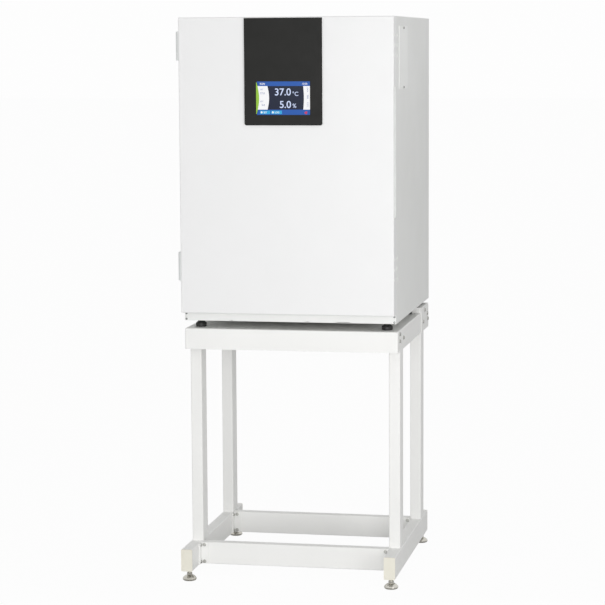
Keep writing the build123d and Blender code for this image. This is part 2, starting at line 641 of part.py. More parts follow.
# Insulation: glass wool boards round the liner, with pockets for the heating mats; the rear is four
# boards laid round the access port
SLAB_X = CHAMBER_W / 2 + LINER_T
SLAB_OUT_X = HALF_W - SHEET
SLAB_FRONT_Y = MOUTH_Y + LINER_T
SLAB_TOP_Z = CHAMBER_TOP_Z + LINER_T + TOP_INSULATION
SLAB_GAP = 0.3
SLAB_REAR_Y = CHAMBER_REAR_Y + LINER_T
SIDE_SLAB_Z = CABINET_Z + SIDE_INSULATION_LIFT
PORT_CUT = PORT_R + INLET_FIT
MAT_Y = SLAB_FRONT_Y + MAT_MARGIN
MAT_REAR_Y = CHAMBER_REAR_Y - MAT_MARGIN
with BuildPart() as insulation:
    with BuildSketch(level(SIDE_SLAB_Z)):
        for sign in (-1, 1):
            patch(*sorted((sign * SLAB_X, sign * SLAB_OUT_X)), SLAB_FRONT_Y, SLAB_REAR_Y - SLAB_GAP)
    extrude(amount=SLAB_TOP_Z - SIDE_SLAB_Z)
    for sign in (-1, 1):
        with BuildSketch(side(sign * SLAB_X)):
            patch(MAT_Y, MAT_REAR_Y, CHAMBER_Z + MAT_MARGIN, CHAMBER_TOP_Z - MAT_MARGIN)
        extrude(amount=sign * MAT_T, mode=Mode.SUBTRACT)
    with BuildSketch(level(CABINET_Z + SHEET)):
        patch(SLAB_GAP - SLAB_X, SLAB_X - SLAB_GAP, SLAB_FRONT_Y, SLAB_REAR_Y - SLAB_GAP)
    extrude(amount=CHAMBER_LIFT - SHEET - LINER_T)
    with BuildSketch(level(CHAMBER_Z - LINER_T)):
        patch(MAT_MARGIN - SLAB_X, SLAB_X - MAT_MARGIN, MAT_Y, MAT_REAR_Y)
    extrude(amount=-MAT_T, mode=Mode.SUBTRACT)
    with BuildSketch(level(CHAMBER_TOP_Z + LINER_T)):
        patch(SLAB_GAP - SLAB_X, SLAB_X - SLAB_GAP, SLAB_FRONT_Y, SLAB_REAR_Y - SLAB_GAP)
        with Locations((0, FAN_Y)):
            Circle(SHAFT_HOLE_R, mode=Mode.SUBTRACT)
    extrude(amount=TOP_INSULATION)
    with BuildSketch(wall(SLAB_REAR_Y)):
        patch(-SLAB_OUT_X, PORT_X - PORT_CUT, SIDE_SLAB_Z, SLAB_TOP_Z)
        patch(PORT_X + SLAB_GAP - PORT_CUT, PORT_X + PORT_CUT - SLAB_GAP, SIDE_SLAB_Z, PORT_Z - PORT_CUT)
        patch(PORT_X + SLAB_GAP - PORT_CUT, PORT_X + PORT_CUT - SLAB_GAP, PORT_Z + PORT_CUT, SLAB_TOP_Z)
        patch(PORT_X + PORT_CUT, SLAB_OUT_X, SIDE_SLAB_Z, SLAB_TOP_Z)
        with Locations((GAS_X, GAS_Z)):
            Circle(GAS_HOLE_R, mode=Mode.SUBTRACT)
        with Locations((CO2_SENSOR_X, CO2_SENSOR_Z)):
            Circle(CO2_SENSOR_R + INLET_FIT, mode=Mode.SUBTRACT)
        with Locations((PROBE_X, CO2_SENSOR_Z)):
            Circle(PROBE_R + INLET_FIT, mode=Mode.SUBTRACT)
    extrude(amount=-REAR_INSULATION)
save(insulation, "insulation")

# Heating mats: silicone mats on the liner's two sides and floor
with BuildPart() as heater_mats:
    for sign in (-1, 1):
        with BuildSketch(side(sign * SLAB_X)):
            patch(MAT_Y, MAT_REAR_Y, CHAMBER_Z + MAT_MARGIN, CHAMBER_TOP_Z - MAT_MARGIN)
        extrude(amount=sign * MAT_T)
    with BuildSketch(level(CHAMBER_Z - LINER_T)):
        patch(MAT_MARGIN - SLAB_X, SLAB_X - MAT_MARGIN, MAT_Y, MAT_REAR_Y)
    extrude(amount=-MAT_T)
save(heater_mats, "heater_mats")

# Shelf posts: four stainless channels with a ladder of slots
SLOT_W = 10.0
SLOT_H = 6.0
POST_SLOTS = int((POST_H - SLOT_PITCH) // SLOT_PITCH)
POST_Z = CHAMBER_Z + POST_FOOT_GAP
with BuildPart() as shelf_posts:
    with BuildSketch(level(POST_Z)):
        for sign in (-1, 1):
            for y in (FRONT_POST_Y, REAR_POST_Y):
                inner = sign * RUNNER_X
                patch(*sorted((inner, inner + sign * POST_DEPTH)), y - POST_W / 2, y + POST_W / 2)
                patch(*sorted((inner + sign * POST_T, inner + sign * 2 * POST_DEPTH)),
                      y - POST_W / 2 + POST_T, y + POST_W / 2 - POST_T, mode=Mode.SUBTRACT)
    extrude(amount=POST_H)
    for sign in (-1, 1):
        with BuildSketch(side(sign * (RUNNER_X - POST_T))):
            for y in (FRONT_POST_Y, REAR_POST_Y):
                with Locations((y, SHELF_LEVELS[1])):
                    with GridLocations(0, SLOT_PITCH, 1, POST_SLOTS):
                        Rectangle(SLOT_W, SLOT_H)
        extrude(amount=sign * 3 * POST_T, mode=Mode.SUBTRACT)
save(shelf_posts, "shelf_posts")

# Shelf runners: folded angles hooked into the posts, one on each side of a shelf
RUNNER_END = 14.0
HOOK_W = 7.0
HOOK_H = 4.0
HOOK_REACH = POST_T + 1.0
RUNNER_Y = FRONT_POST_Y - POST_W / 2 - RUNNER_END
RUNNER_L = REAR_POST_Y + POST_W / 2 + RUNNER_END - RUNNER_Y
with BuildPart() as shelf_runners:
    for sign in (-1, 1):
        back_x = sign * RUNNER_X
        for shelf_z in SHELF_LEVELS:
            with BuildSketch(wall(RUNNER_Y)):
                low = shelf_z - RUNNER_T
                patch(*sorted((back_x, back_x - sign * RUNNER_T)), low - RUNNER_H / 2, low + RUNNER_H / 2)
                patch(*sorted((back_x, back_x - sign * LEDGE_W)), low, shelf_z)
            extrude(amount=-RUNNER_L)
            with BuildSketch(side(back_x)):
                with Locations((FRONT_POST_Y, shelf_z), (REAR_POST_Y, shelf_z)):
                    Rectangle(HOOK_W, HOOK_H)
            extrude(amount=sign * HOOK_REACH)
save(shelf_runners, "shelf_runners")

# Shelves: perforated stainless trays with the front and rear edges folded down
HOLE_COLUMNS = 10
HOLE_ROWS = 16
HOLE_WEB = 10.5
HOLE_D = 9.0
HOLE_PITCH_X = 2 * (SHELF_HALF_W - LEDGE_W) / HOLE_COLUMNS
HOLE_PITCH_Y = (SHELF_D - 4 * SHELF_T) / HOLE_ROWS
SHELF_NAMES = ("shelf_lower", "shelf_middle", "shelf_upper")
for shelf_name, shelf_z in zip(SHELF_NAMES, SHELF_LEVELS):
    with BuildPart() as shelf:
        with BuildSketch(side(-SHELF_HALF_W)):
            patch(SHELF_Y, SHELF_Y + SHELF_D, shelf_z - SHELF_LIP, shelf_z + SHELF_T)
            patch(SHELF_Y + SHELF_T, SHELF_Y + SHELF_D - SHELF_T, shelf_z - 2 * SHELF_LIP, shelf_z,
                  mode=Mode.SUBTRACT)
        extrude(amount=2 * SHELF_HALF_W)
        with BuildSketch(side(-SHELF_HALF_W)):
            patch(SHELF_Y, SHELF_Y + SHELF_D, shelf_z - 2 * SHELF_LIP, shelf_z)
        extrude(amount=LEDGE_W, mode=Mode.SUBTRACT)
        with BuildSketch(side(SHELF_HALF_W)):
            patch(SHELF_Y, SHELF_Y + SHELF_D, shelf_z - 2 * SHELF_LIP, shelf_z)
        extrude(amount=-LEDGE_W, mode=Mode.SUBTRACT)
        with BuildSketch(level(shelf_z)):
            with Locations((0, SHELF_Y + SHELF_D / 2)):
                with GridLocations(HOLE_PITCH_X, HOLE_PITCH_Y, HOLE_COLUMNS, HOLE_ROWS):
                    Rectangle(HOLE_PITCH_X - HOLE_WEB, HOLE_D)
        extrude(amount=SHELF_T, mode=Mode.SUBTRACT)
    save(shelf, shelf_name)

# Humidity pan: a deep-drawn stainless tray on the chamber floor
WATER_PAN_W = CHAMBER_W - 70.0
WATER_PAN_D = SHELF_D - 40.0
WATER_PAN_H = 40.0
WATER_PAN_R = 18.0
with BuildPart() as water_pan:
    with BuildSketch(level(CHAMBER_Z + SEAT_GAP)):
        with Locations((0, SHELF_Y + WATER_PAN_D / 2 + CHAMBER_R)):
            RectangleRounded(WATER_PAN_W, WATER_PAN_D, WATER_PAN_R)
    extrude(amount=WATER_PAN_H)
    offset(amount=-SHELF_T, openings=water_pan.faces().sort_by(Axis.Z)[-1])
save(water_pan, "water_pan")

# Air duct: a folded stainless cover under the ceiling, with a ring of intake slots below the fan
DUCT_FLANGE = 12.0
INTAKE_SLOTS = 12
INTAKE_RING_R = 36.0
INTAKE_L = 30.0
INTAKE_W = 6.0
DUCT_Z = CHAMBER_TOP_Z - DUCT_H
DUCT_Y = FAN_Y - DUCT_D / 2
with BuildPart() as air_duct:
    with BuildSketch(wall(DUCT_Y)):
        patch(-DUCT_W / 2, DUCT_W / 2, DUCT_Z, CHAMBER_TOP_Z)
        patch(-DUCT_W / 2 + SHELF_T, DUCT_W / 2 - SHELF_T, DUCT_Z + SHELF_T, CHAMBER_TOP_Z, mode=Mode.SUBTRACT)
        patch(-DUCT_W / 2 - DUCT_FLANGE, -DUCT_W / 2 + SHELF_T, CHAMBER_TOP_Z - SHELF_T, CHAMBER_TOP_Z)
        patch(DUCT_W / 2 - SHELF_T, DUCT_W / 2 + DUCT_FLANGE, CHAMBER_TOP_Z - SHELF_T, CHAMBER_TOP_Z)
    extrude(amount=-DUCT_D)
    with BuildSketch(level(DUCT_Z)):
        with Locations((0, FAN_Y)):
            with PolarLocations(INTAKE_RING_R, INTAKE_SLOTS):
                Rectangle(INTAKE_L, INTAKE_W)
    extrude(amount=SHELF_T, mode=Mode.SUBTRACT)
save(air_duct, "air_duct")

# Fan motor: a flanged can standing on the insulation above the ceiling
MOTOR_FOOT_R = 48.0
MOTOR_FOOT_T = 3.0
MOTOR_EDGE_R = 4.0
MOTOR_SOCKET = 0.8 * MOTOR_H
MOTOR_BOTTOM_Z = SLAB_TOP_Z
with BuildPart() as fan_motor:
    with BuildSketch(level(MOTOR_BOTTOM_Z)):
        with Locations((0, FAN_Y)):
            Circle(MOTOR_FOOT_R)
    extrude(amount=MOTOR_FOOT_T)
    with BuildSketch(level(MOTOR_BOTTOM_Z)):
        with Locations((0, FAN_Y)):
            Circle(MOTOR_R)
    extrude(amount=MOTOR_H)
    fillet(fan_motor.faces().sort_by(Axis.Z)[-1].edges(), MOTOR_EDGE_R)
    with BuildSketch(level(MOTOR_BOTTOM_Z)):
        with Locations((0, FAN_Y)):
            Circle(FAN_SHAFT_R + RUNNING_GAP)
    extrude(amount=MOTOR_SOCKET, mode=Mode.SUBTRACT)
save(fan_motor, "fan_motor")

# Fan wheel: a centrifugal wheel with swept blades between a back disc and a front ring, on its shaft
FAN_BLADES = 12
FAN_DISC_T = 1.5
FAN_HUB_R = 12.0
FAN_EYE_R = 34.0
BLADE_T = 1.6
BLADE_SWEEP = 38.0
FAN_HUB_H = 0.6 * FAN_H
FAN_SHAFT_IN = 0.7 * MOTOR_H
FAN_CEILING_GAP = 10.0
FAN_DISC_Z = CHAMBER_TOP_Z - FAN_CEILING_GAP
FAN_LOW_Z = FAN_DISC_Z - FAN_H
BLADE_TIP_R = FAN_R - 1
BLADE_ROOT_R = FAN_EYE_R - 4
BLADE_BELLY = (0.76 * FAN_R, 0.24 * FAN_R)
BLADE_COS, BLADE_SIN = cos(radians(BLADE_SWEEP)), sin(radians(BLADE_SWEEP))
with BuildSketch() as fan_blade:
    with BuildLine():
        outer_arc = ThreePointArc((BLADE_ROOT_R * BLADE_COS, BLADE_ROOT_R * BLADE_SIN), BLADE_BELLY,
                                  (BLADE_TIP_R, 0))
        inner_arc = ThreePointArc(((BLADE_ROOT_R - BLADE_T) * BLADE_COS, (BLADE_ROOT_R - BLADE_T) * BLADE_SIN),
                                  (BLADE_BELLY[0] - BLADE_T, BLADE_BELLY[1] - BLADE_T / 2),
                                  (BLADE_TIP_R - BLADE_T, 0))
        Line(outer_arc @ 0, inner_arc @ 0)
        Line(outer_arc @ 1, inner_arc @ 1)
    make_face()
with BuildPart() as fan_wheel:
    with BuildSketch(level(FAN_DISC_Z)):
        with Locations((0, FAN_Y)):
            Circle(FAN_R)
    extrude(amount=FAN_DISC_T)
    with BuildSketch(level(FAN_LOW_Z)):
        with Locations((0, FAN_Y)):
            Circle(FAN_R)
            Circle(FAN_EYE_R, mode=Mode.SUBTRACT)
    extrude(amount=FAN_DISC_T)
    with BuildSketch(level(FAN_DISC_Z)):
        with Locations((0, FAN_Y)):
            Circle(FAN_HUB_R)
    extrude(amount=-FAN_HUB_H)
    with BuildSketch(level(FAN_LOW_Z)):
        with Locations((0, FAN_Y)):
            with PolarLocations(0, FAN_BLADES):
                add(fan_blade.sketch)
    extrude(amount=FAN_H)
    with BuildSketch(level(FAN_DISC_Z)):
        with Locations((0, FAN_Y)):
            Circle(FAN_SHAFT_R)
    extrude(amount=MOTOR_BOTTOM_Z + FAN_SHAFT_IN - FAN_DISC_Z)
save(fan_wheel, "fan_wheel")

# Chamber sensors: the infrared gas sensor and the temperature probe, both flanged on the rear insulation
SENSOR_REACH = 45.0
PROBE_REACH = 70.0
SENSOR_FLANGE_R = 18.0
PROBE_FLANGE_R = 8.0
SENSOR_FLANGE_T = 4.0
with BuildPart() as chamber_sensors:
    for x, reach, body_r, flange_r in ((CO2_SENSOR_X, SENSOR_REACH, CO2_SENSOR_R, SENSOR_FLANGE_R),
                                       (PROBE_X, PROBE_REACH, PROBE_R, PROBE_FLANGE_R)):
        with BuildSketch(wall(CHAMBER_REAR_Y - reach)):
            with Locations((x, CO2_SENSOR_Z)):
                Circle(body_r)
        extrude(amount=-(reach + LINER_T + REAR_INSULATION))
        with BuildSketch(wall(REAR_SLAB_Y)):
            with Locations((x, CO2_SENSOR_Z)):
                Circle(flange_r)
        extrude(amount=-SENSOR_FLANGE_T)
save(chamber_sensors, "chamber_sensors")

# Access port: a tube from the chamber through the insulation and the rear cover, flanged outside
with BuildPart() as access_port:
    with BuildSketch(wall(CHAMBER_REAR_Y)):
        with Locations((PORT_X, PORT_Z)):
            Circle(PORT_R)
    extrude(amount=-(REAR_Y - CHAMBER_REAR_Y))
    with BuildSketch(wall(REAR_Y)):
        with Locations((PORT_X, PORT_Z)):
            Circle(PORT_FLANGE_R)
    extrude(amount=-PORT_FLANGE_T)
    with BuildSketch(wall(CHAMBER_REAR_Y)):
        with Locations((PORT_X, PORT_Z)):
            Circle(PORT_BORE_R)
    extrude(amount=-(REAR_Y - CHAMBER_REAR_Y + PORT_FLANGE_T), mode=Mode.SUBTRACT)
save(access_port, "access_port")

# Port stopper: a tapered silicone plug with a finger head
STOPPER_L = 28.0
STOPPER_TIP_R = 12.5
STOPPER_HEAD_R = 19.0
STOPPER_EDGE = 3.0
with BuildPart() as port_stopper:
    port_axis = Plane(origin=(PORT_X, REAR_Y + PORT_FLANGE_T, PORT_Z), x_dir=(1, 0, 0), z_dir=(0, 0, 1))
    with BuildSketch(port_axis):
        with BuildLine():
            Polyline((0, -STOPPER_L), (STOPPER_TIP_R, -STOPPER_L), (PORT_BORE_R - SEAT_GAP, 0),
                     (PORT_BORE_R - SEAT_GAP, SEAT_GAP), (STOPPER_HEAD_R, SEAT_GAP),
                     (STOPPER_HEAD_R, STOPPER_HEAD - STOPPER_EDGE), (STOPPER_HEAD_R - STOPPER_EDGE, STOPPER_HEAD),
                     (0, STOPPER_HEAD), (0, -STOPPER_L))
        make_face()
    revolve(axis=Axis((PORT_X, REAR_Y, PORT_Z), (0, 1, 0)))
save(port_stopper, "port_stopper")

# Gas inlet: a nipple for the supply hose, with its hexagon nut on the rear cover
NIPPLE_CHAMFER = 1.0
with BuildPart() as gas_inlet:
    with BuildSketch(wall(REAR_Y - SHEET)):
        with Locations((GAS_X, GAS_Z)):
            Circle(NIPPLE_R)
    extrude(amount=-(SHEET + GAS_NUT_T + NIPPLE_L))
    chamfer(gas_inlet.faces().sort_by(Axis.Y)[-1].edges(), NIPPLE_CHAMFER)
    with BuildSketch(wall(REAR_Y)):
        with Locations((GAS_X, GAS_Z)):
            RegularPolygon(GAS_NUT_R, 6)
    extrude(amount=-GAS_NUT_T)
save(gas_inlet, "gas_inlet")

# Gas feed: the solenoid valve behind the nipple and the straight tube from it into the chamber
VALVE_W = 32.0
VALVE_H = 44.0
VALVE_D = 40.0
VALVE_R = 4.0
TUBE_REACH = 12.0
VALVE_Y = REAR_Y - SHEET - VALVE_D
with BuildPart() as gas_feed:
    with BuildSketch(wall(VALVE_Y)):
        with Locations((GAS_X, GAS_Z)):
            RectangleRounded(VALVE_W, VALVE_H, VALVE_R)
    extrude(amount=-VALVE_D)
    with BuildSketch(wall(CHAMBER_REAR_Y - TUBE_REACH)):
        with Locations((GAS_X, GAS_Z)):
            Circle(GAS_TUBE_R)
            Circle(GAS_TUBE_R / 2, mode=Mode.SUBTRACT)
    extrude(amount=-(VALVE_Y - CHAMBER_REAR_Y + TUBE_REACH))
save(gas_feed, "gas_feed")

# Main board: a printed board with its transformer and relays, screwed to the rear cover's studs
BOARD_T = 1.6
BOARD_BACK_Y = REAR_Y - SHEET - STUD_L
BOARD_PARTS = ((45, 20, 55, 50, 32), (-30, 30, 40, 18, 15), (-30, 0, 40, 18, 15), (-50, -40, 50, 12, 10))
with BuildPart() as main_board:
    with BuildSketch(wall(BOARD_BACK_Y - BOARD_T)):
        with Locations((BOARD_X, BOARD_Z)):
            Rectangle(BOARD_W, BOARD_H)
    extrude(amount=-BOARD_T)
    for dx, dz, w, h, tall in BOARD_PARTS:
        with BuildSketch(wall(BOARD_BACK_Y - BOARD_T)):
            with Locations((BOARD_X + dx, BOARD_Z + dz)):
                Rectangle(w, h)
        extrude(amount=tall)
save(main_board, "main_board")

# Power inlet: a moulded frame with the mains socket below and the window for the rocker above
FRAME_LIP = 2.5
INLET_DEEP = 26.0
SOCKET_W = 24.0
SOCKET_H = 17.0
SOCKET_DROP = 15.0
SOCKET_PINS = ((-7, -2), (0, 3), (7, -2))
SOCKET_PIN_W = 2.0
SOCKET_PIN_H = 4.0
SOCKET_PIN_SUNK = 4.0
INLET_R = 3.0
ROCKER_SUNK = 4.0
ROCKER_RISE = 17.0
ROCKER_CLEAR = 0.6
WINDOW_D = 16.0
ROCKER_Z = INLET_Z + ROCKER_RISE
ROCKER_Y = REAR_Y - ROCKER_SUNK
ROCKER_PIN_R = 1.5
ROCKER_PIN_L = 2.5
with BuildPart() as power_inlet:
    with BuildSketch(wall(REAR_Y)):
        with Locations((INLET_X, INLET_Z)):
            RectangleRounded(INLET_W, INLET_H, INLET_R)
    extrude(amount=-FRAME_LIP)
    with BuildSketch(wall(REAR_Y)):
        with Locations((INLET_X, INLET_Z)):
            Rectangle(INLET_W - 2 * (INLET_RIM + INLET_FIT), INLET_H - 2 * (INLET_RIM + INLET_FIT))
    extrude(amount=INLET_DEEP)
    with BuildSketch(wall(REAR_Y + FRAME_LIP)):
        with Locations((INLET_X, INLET_Z - SOCKET_DROP)):
            RectangleRounded(SOCKET_W, SOCKET_H, INLET_R)
        with Locations((INLET_X, INLET_Z + ROCKER_RISE)):
            Rectangle(ROCKER_W + 2 * ROCKER_CLEAR, ROCKER_H + 2 * ROCKER_CLEAR)
    extrude(amount=WINDOW_D, mode=Mode.SUBTRACT)
    with BuildSketch(wall(REAR_Y + FRAME_LIP - WINDOW_D)):
        with Locations((INLET_X, INLET_Z - SOCKET_DROP)):
            with Locations(*SOCKET_PINS):
                Rectangle(SOCKET_PIN_W, SOCKET_PIN_H)
    extrude(amount=-(WINDOW_D - SOCKET_PIN_SUNK))
    with BuildSketch(side(INLET_X - ROCKER_W / 2 - 2 * ROCKER_PIN_L)):
        with Locations((ROCKER_Y, ROCKER_Z)):
            Circle(ROCKER_PIN_R + RUNNING_GAP)
    extrude(amount=ROCKER_W + 4 * ROCKER_PIN_L, mode=Mode.SUBTRACT)
save(power_inlet, "power_inlet")

# Power rocker: rests tipped to one side and rocks across its middle
ROCKER_DEEP = 7.0
ROCKER_FACE = 6.0
ROCKER_DISH = 2.0
ROCKER_ROOT = 5.0
ROCKER_HALF = ROCKER_H / 2 - 1.0
with BuildPart() as power_rocker:
    tilt = radians(ROCKER_TILT)
    with BuildSketch(Plane(origin=(INLET_X - ROCKER_W / 2, ROCKER_Y, ROCKER_Z),
                           x_dir=(0, cos(tilt), sin(tilt)), z_dir=(1, 0, 0))):
        with BuildLine():
            Line((-ROCKER_DEEP, -ROCKER_ROOT), (ROCKER_FACE, -ROCKER_HALF))
            ThreePointArc((ROCKER_FACE, -ROCKER_HALF), (ROCKER_FACE - ROCKER_DISH, 0), (ROCKER_FACE, ROCKER_HALF))
            Line((ROCKER_FACE, ROCKER_HALF), (-ROCKER_DEEP, ROCKER_ROOT))
            Line((-ROCKER_DEEP, ROCKER_ROOT), (-ROCKER_DEEP, -ROCKER_ROOT))
        make_face()
    extrude(amount=ROCKER_W)
    with BuildSketch(side(INLET_X - ROCKER_W / 2 - ROCKER_PIN_L)):
        with Locations((ROCKER_Y, ROCKER_Z)):
            Circle(ROCKER_PIN_R)
    extrude(amount=ROCKER_W + 2 * ROCKER_PIN_L)
save(power_rocker, "power_rocker")


def stack(bottom, top, middle_h, gap, middle):
    """The heights of a hinge's knuckles: the middle one, or the two that flank it."""
    centre = (bottom + top) / 2
    if middle:
        return [(centre - middle_h / 2, centre + middle_h / 2)]
    return [(bottom, centre - middle_h / 2 - gap), (centre + middle_h / 2 + gap, top)]


# Cabinet hinges: for each hinge a leaf on the side panel with two knuckles, and the pin
LEAF_FAR_Y = HINGE_Y + LEAF_SET_BACK + LEAF_W
LEAF_NEAR_Y = HINGE_Y + LEAF_SET_BACK
PIN_HEAD_R = 5.0
PIN_HEAD_H = 2.0
with BuildPart() as cabinet_hinges:
    for hinge_z in HINGE_LEVELS:
        with BuildSketch(level(hinge_z)):
            patch(-HALF_W - LEAF_T, -HALF_W, LEAF_NEAR_Y, LEAF_FAR_Y)
        extrude(amount=HINGE_H)
        for low, high in stack(hinge_z, hinge_z + HINGE_H, MIDDLE_KNUCKLE_H, KNUCKLE_GAP, False):
            with BuildSketch(level(low)):
                patch(-HALF_W - LEAF_T, -HALF_W, HINGE_Y + HINGE_IN_GAP, LEAF_NEAR_Y)
                with Locations((HINGE_X, HINGE_Y)):
                    Circle(KNUCKLE_R)
                patch(HINGE_X, -HALF_W - LEAF_T, HINGE_Y + HINGE_IN_GAP, HINGE_Y + KNUCKLE_R)
                with Locations((HINGE_X, HINGE_Y)):
                    Circle(HINGE_PIN_R + RUNNING_GAP, mode=Mode.SUBTRACT)
            extrude(amount=high - low)
    for hinge_z in HINGE_LEVELS:
        with BuildSketch(level(hinge_z)):
            with Locations((HINGE_X, HINGE_Y)):
                Circle(HINGE_PIN_R)
        extrude(amount=HINGE_H + RUNNING_GAP)
        with BuildSketch(level(hinge_z + HINGE_H + RUNNING_GAP)):
            with Locations((HINGE_X, HINGE_Y)):
                Circle(PIN_HEAD_R)
        extrude(amount=PIN_HEAD_H)
save(cabinet_hinges, "cabinet_hinges")

# Door shell: the outer steel pan of the door, with a lip all round its back
DOOR_LIP = 22.0
CUTOUT_MARGIN = 10.0
GRIP_L = 373.0
GRIP_LIFT = 277.0
GRIP_Z = DOOR_Z + GRIP_LIFT
GRIP_DEEP = 13.0
GRIP_FRONT_Y = 4.0
GRIP_REAR_Y = 33.0
CUTOUT_W = SCREEN_W + 2 * CUTOUT_MARGIN
CUTOUT_H = SCREEN_H + 2 * CUTOUT_MARGIN
with BuildPart() as door_shell:
    with BuildSketch(wall(0)):
        with Locations((0, DOOR_MID_Z)):
            Rectangle(CABINET_W, DOOR_H)
    extrude(amount=-DOOR_T)
    fillet(door_shell.faces().sort_by(Axis.Y)[0].edges(), DOOR_EDGE_R)
    with BuildSketch(wall(SHEET)):
        with Locations((0, DOOR_MID_Z)):
            Rectangle(CABINET_W - 2 * SHEET, DOOR_H - 2 * SHEET)
    extrude(amount=-(DOOR_T - 2 * SHEET), mode=Mode.SUBTRACT)
    with BuildSketch(wall(DOOR_T - SHEET)):
        with Locations((0, DOOR_MID_Z)):
            Rectangle(CABINET_W - 2 * DOOR_LIP, DOOR_H - 2 * DOOR_LIP)
    extrude(amount=-SHEET, mode=Mode.SUBTRACT)
    with BuildSketch(wall(0)):
        with Locations((SCREEN_X, SCREEN_MID_Z)):
            Rectangle(CUTOUT_W, CUTOUT_H)
    extrude(amount=-SHEET, mode=Mode.SUBTRACT)
    with BuildSketch(side(HALF_W - SHEET)):
        patch(GRIP_FRONT_Y, GRIP_REAR_Y, GRIP_Z, GRIP_Z + GRIP_L)
    extrude(amount=SHEET, mode=Mode.SUBTRACT)
save(door_shell, "door_shell")

# Door grip: a moulded insert in the free edge, hollowed for the fingers
GRIP_FIT = 0.2
GRIP_LIP = 2.0
GRIP_FLOOR = 3.0
GRIP_LEAN = 3.0
with BuildPart() as door_grip:
    with BuildSketch(level(GRIP_Z + GRIP_FIT)):
        with BuildLine():
            Polyline((HALF_W, GRIP_FRONT_Y + GRIP_FIT), (HALF_W - GRIP_DEEP, GRIP_FRONT_Y + GRIP_FIT),
                     (HALF_W - GRIP_DEEP, GRIP_REAR_Y - GRIP_FIT), (HALF_W, GRIP_REAR_Y - GRIP_FIT),
                     (HALF_W, GRIP_REAR_Y - GRIP_LIP))
            ThreePointArc((HALF_W, GRIP_REAR_Y - GRIP_LIP),
                          (HALF_W - GRIP_DEEP + GRIP_FLOOR, (GRIP_FRONT_Y + GRIP_REAR_Y) / 2 - GRIP_LEAN),
                          (HALF_W, GRIP_FRONT_Y + GRIP_LIP))
            Line((HALF_W, GRIP_FRONT_Y + GRIP_LIP), (HALF_W, GRIP_FRONT_Y + GRIP_FIT))
        make_face()
    extrude(amount=GRIP_L - 2 * GRIP_FIT)
save(door_grip, "door_grip")

# Door inner panel: a formed white panel that closes the door's back, sunk in its middle
PANEL_RIM = 60.0
SUNK = 6.0
INNER_PANEL_T = 2.0
INNER_PANEL_R = 20.0
INNER_RIM_W = CABINET_W - 2 * (DOOR_LIP + SEAM)
INNER_RIM_H = DOOR_H - 2 * (DOOR_LIP + SEAM)
PANEL_BACK_Y = DOOR_T
with BuildPart() as door_inner_panel:
    with BuildSketch(wall(PANEL_BACK_Y - INNER_PANEL_T)):
        with Locations((0, DOOR_MID_Z)):
            Rectangle(INNER_RIM_W, INNER_RIM_H)
            RectangleRounded(INNER_RIM_W - 2 * PANEL_RIM, INNER_RIM_H - 2 * PANEL_RIM, INNER_PANEL_R,
                             mode=Mode.SUBTRACT)
    extrude(amount=-INNER_PANEL_T)
    with BuildSketch(wall(PANEL_BACK_Y - INNER_PANEL_T - SUNK)):
        with Locations((0, DOOR_MID_Z)):
            RectangleRounded(INNER_RIM_W - 2 * PANEL_RIM + 2 * INNER_PANEL_T,
                             INNER_RIM_H - 2 * PANEL_RIM + 2 * INNER_PANEL_T, INNER_PANEL_R + INNER_PANEL_T)
            RectangleRounded(INNER_RIM_W - 2 * PANEL_RIM, INNER_RIM_H - 2 * PANEL_RIM, INNER_PANEL_R,
                             mode=Mode.SUBTRACT)
    extrude(amount=-(SUNK + INNER_PANEL_T))
    with BuildSketch(wall(PANEL_BACK_Y - INNER_PANEL_T - SUNK)):
        with Locations((0, DOOR_MID_Z)):
            RectangleRounded(INNER_RIM_W - 2 * PANEL_RIM + INNER_PANEL_T,
                             INNER_RIM_H - 2 * PANEL_RIM + INNER_PANEL_T, INNER_PANEL_R)
    extrude(amount=-INNER_PANEL_T)
save(door_inner_panel, "door_inner_panel")

# Door foam: the insulating core between shell and inner panel, with pockets for the board and the grip
FOAM_BACK_Y = PANEL_BACK_Y - INNER_PANEL_T - SUNK
POCKET_DEEP = 16.0
POCKET_GAP = 4.0
with BuildPart() as door_foam:
    with BuildSketch(wall(SHEET)):
        with Locations((0, DOOR_MID_Z)):
            Rectangle(CABINET_W - 2 * SHEET, DOOR_H - 2 * SHEET)
    extrude(amount=-(FOAM_BACK_Y - SHEET))
    with BuildSketch(wall(SHEET)):
        with Locations((SCREEN_X, SCREEN_MID_Z)):
            Rectangle(CUTOUT_W + POCKET_GAP, CUTOUT_H + POCKET_GAP)
    extrude(amount=-POCKET_DEEP, mode=Mode.SUBTRACT)
    with BuildSketch(level(GRIP_Z)):
        patch(HALF_W - GRIP_DEEP - GRIP_FIT, HALF_W, GRIP_FRONT_Y, GRIP_REAR_Y)
    extrude(amount=GRIP_L, mode=Mode.SUBTRACT)
save(door_foam, "door_foam")

# Door gasket: a magnetic strip round the door's back, just clear of the cabinet's face
GASKET_W = 14.0
GASKET_INSET = 16.0
GASKET_R = 6.0
GASKET_INNER_R = 2.0
GASKET_BEVEL = 1.5
with BuildPart() as door_gasket:
    with BuildSketch(wall(DOOR_T)):
        with Locations((0, DOOR_MID_Z)):
            RectangleRounded(CABINET_W - 2 * GASKET_INSET, DOOR_H - 2 * GASKET_INSET, GASKET_R)
            RectangleRounded(CABINET_W - 2 * (GASKET_INSET + GASKET_W), DOOR_H - 2 * (GASKET_INSET + GASKET_W),
                             GASKET_INNER_R, mode=Mode.SUBTRACT)
    extrude(amount=-(DOOR_GAP - SEAT_GAP))
    chamfer(door_gasket.faces().sort_by(Axis.Y)[-1].edges(), GASKET_BEVEL)
save(door_gasket, "door_gasket")

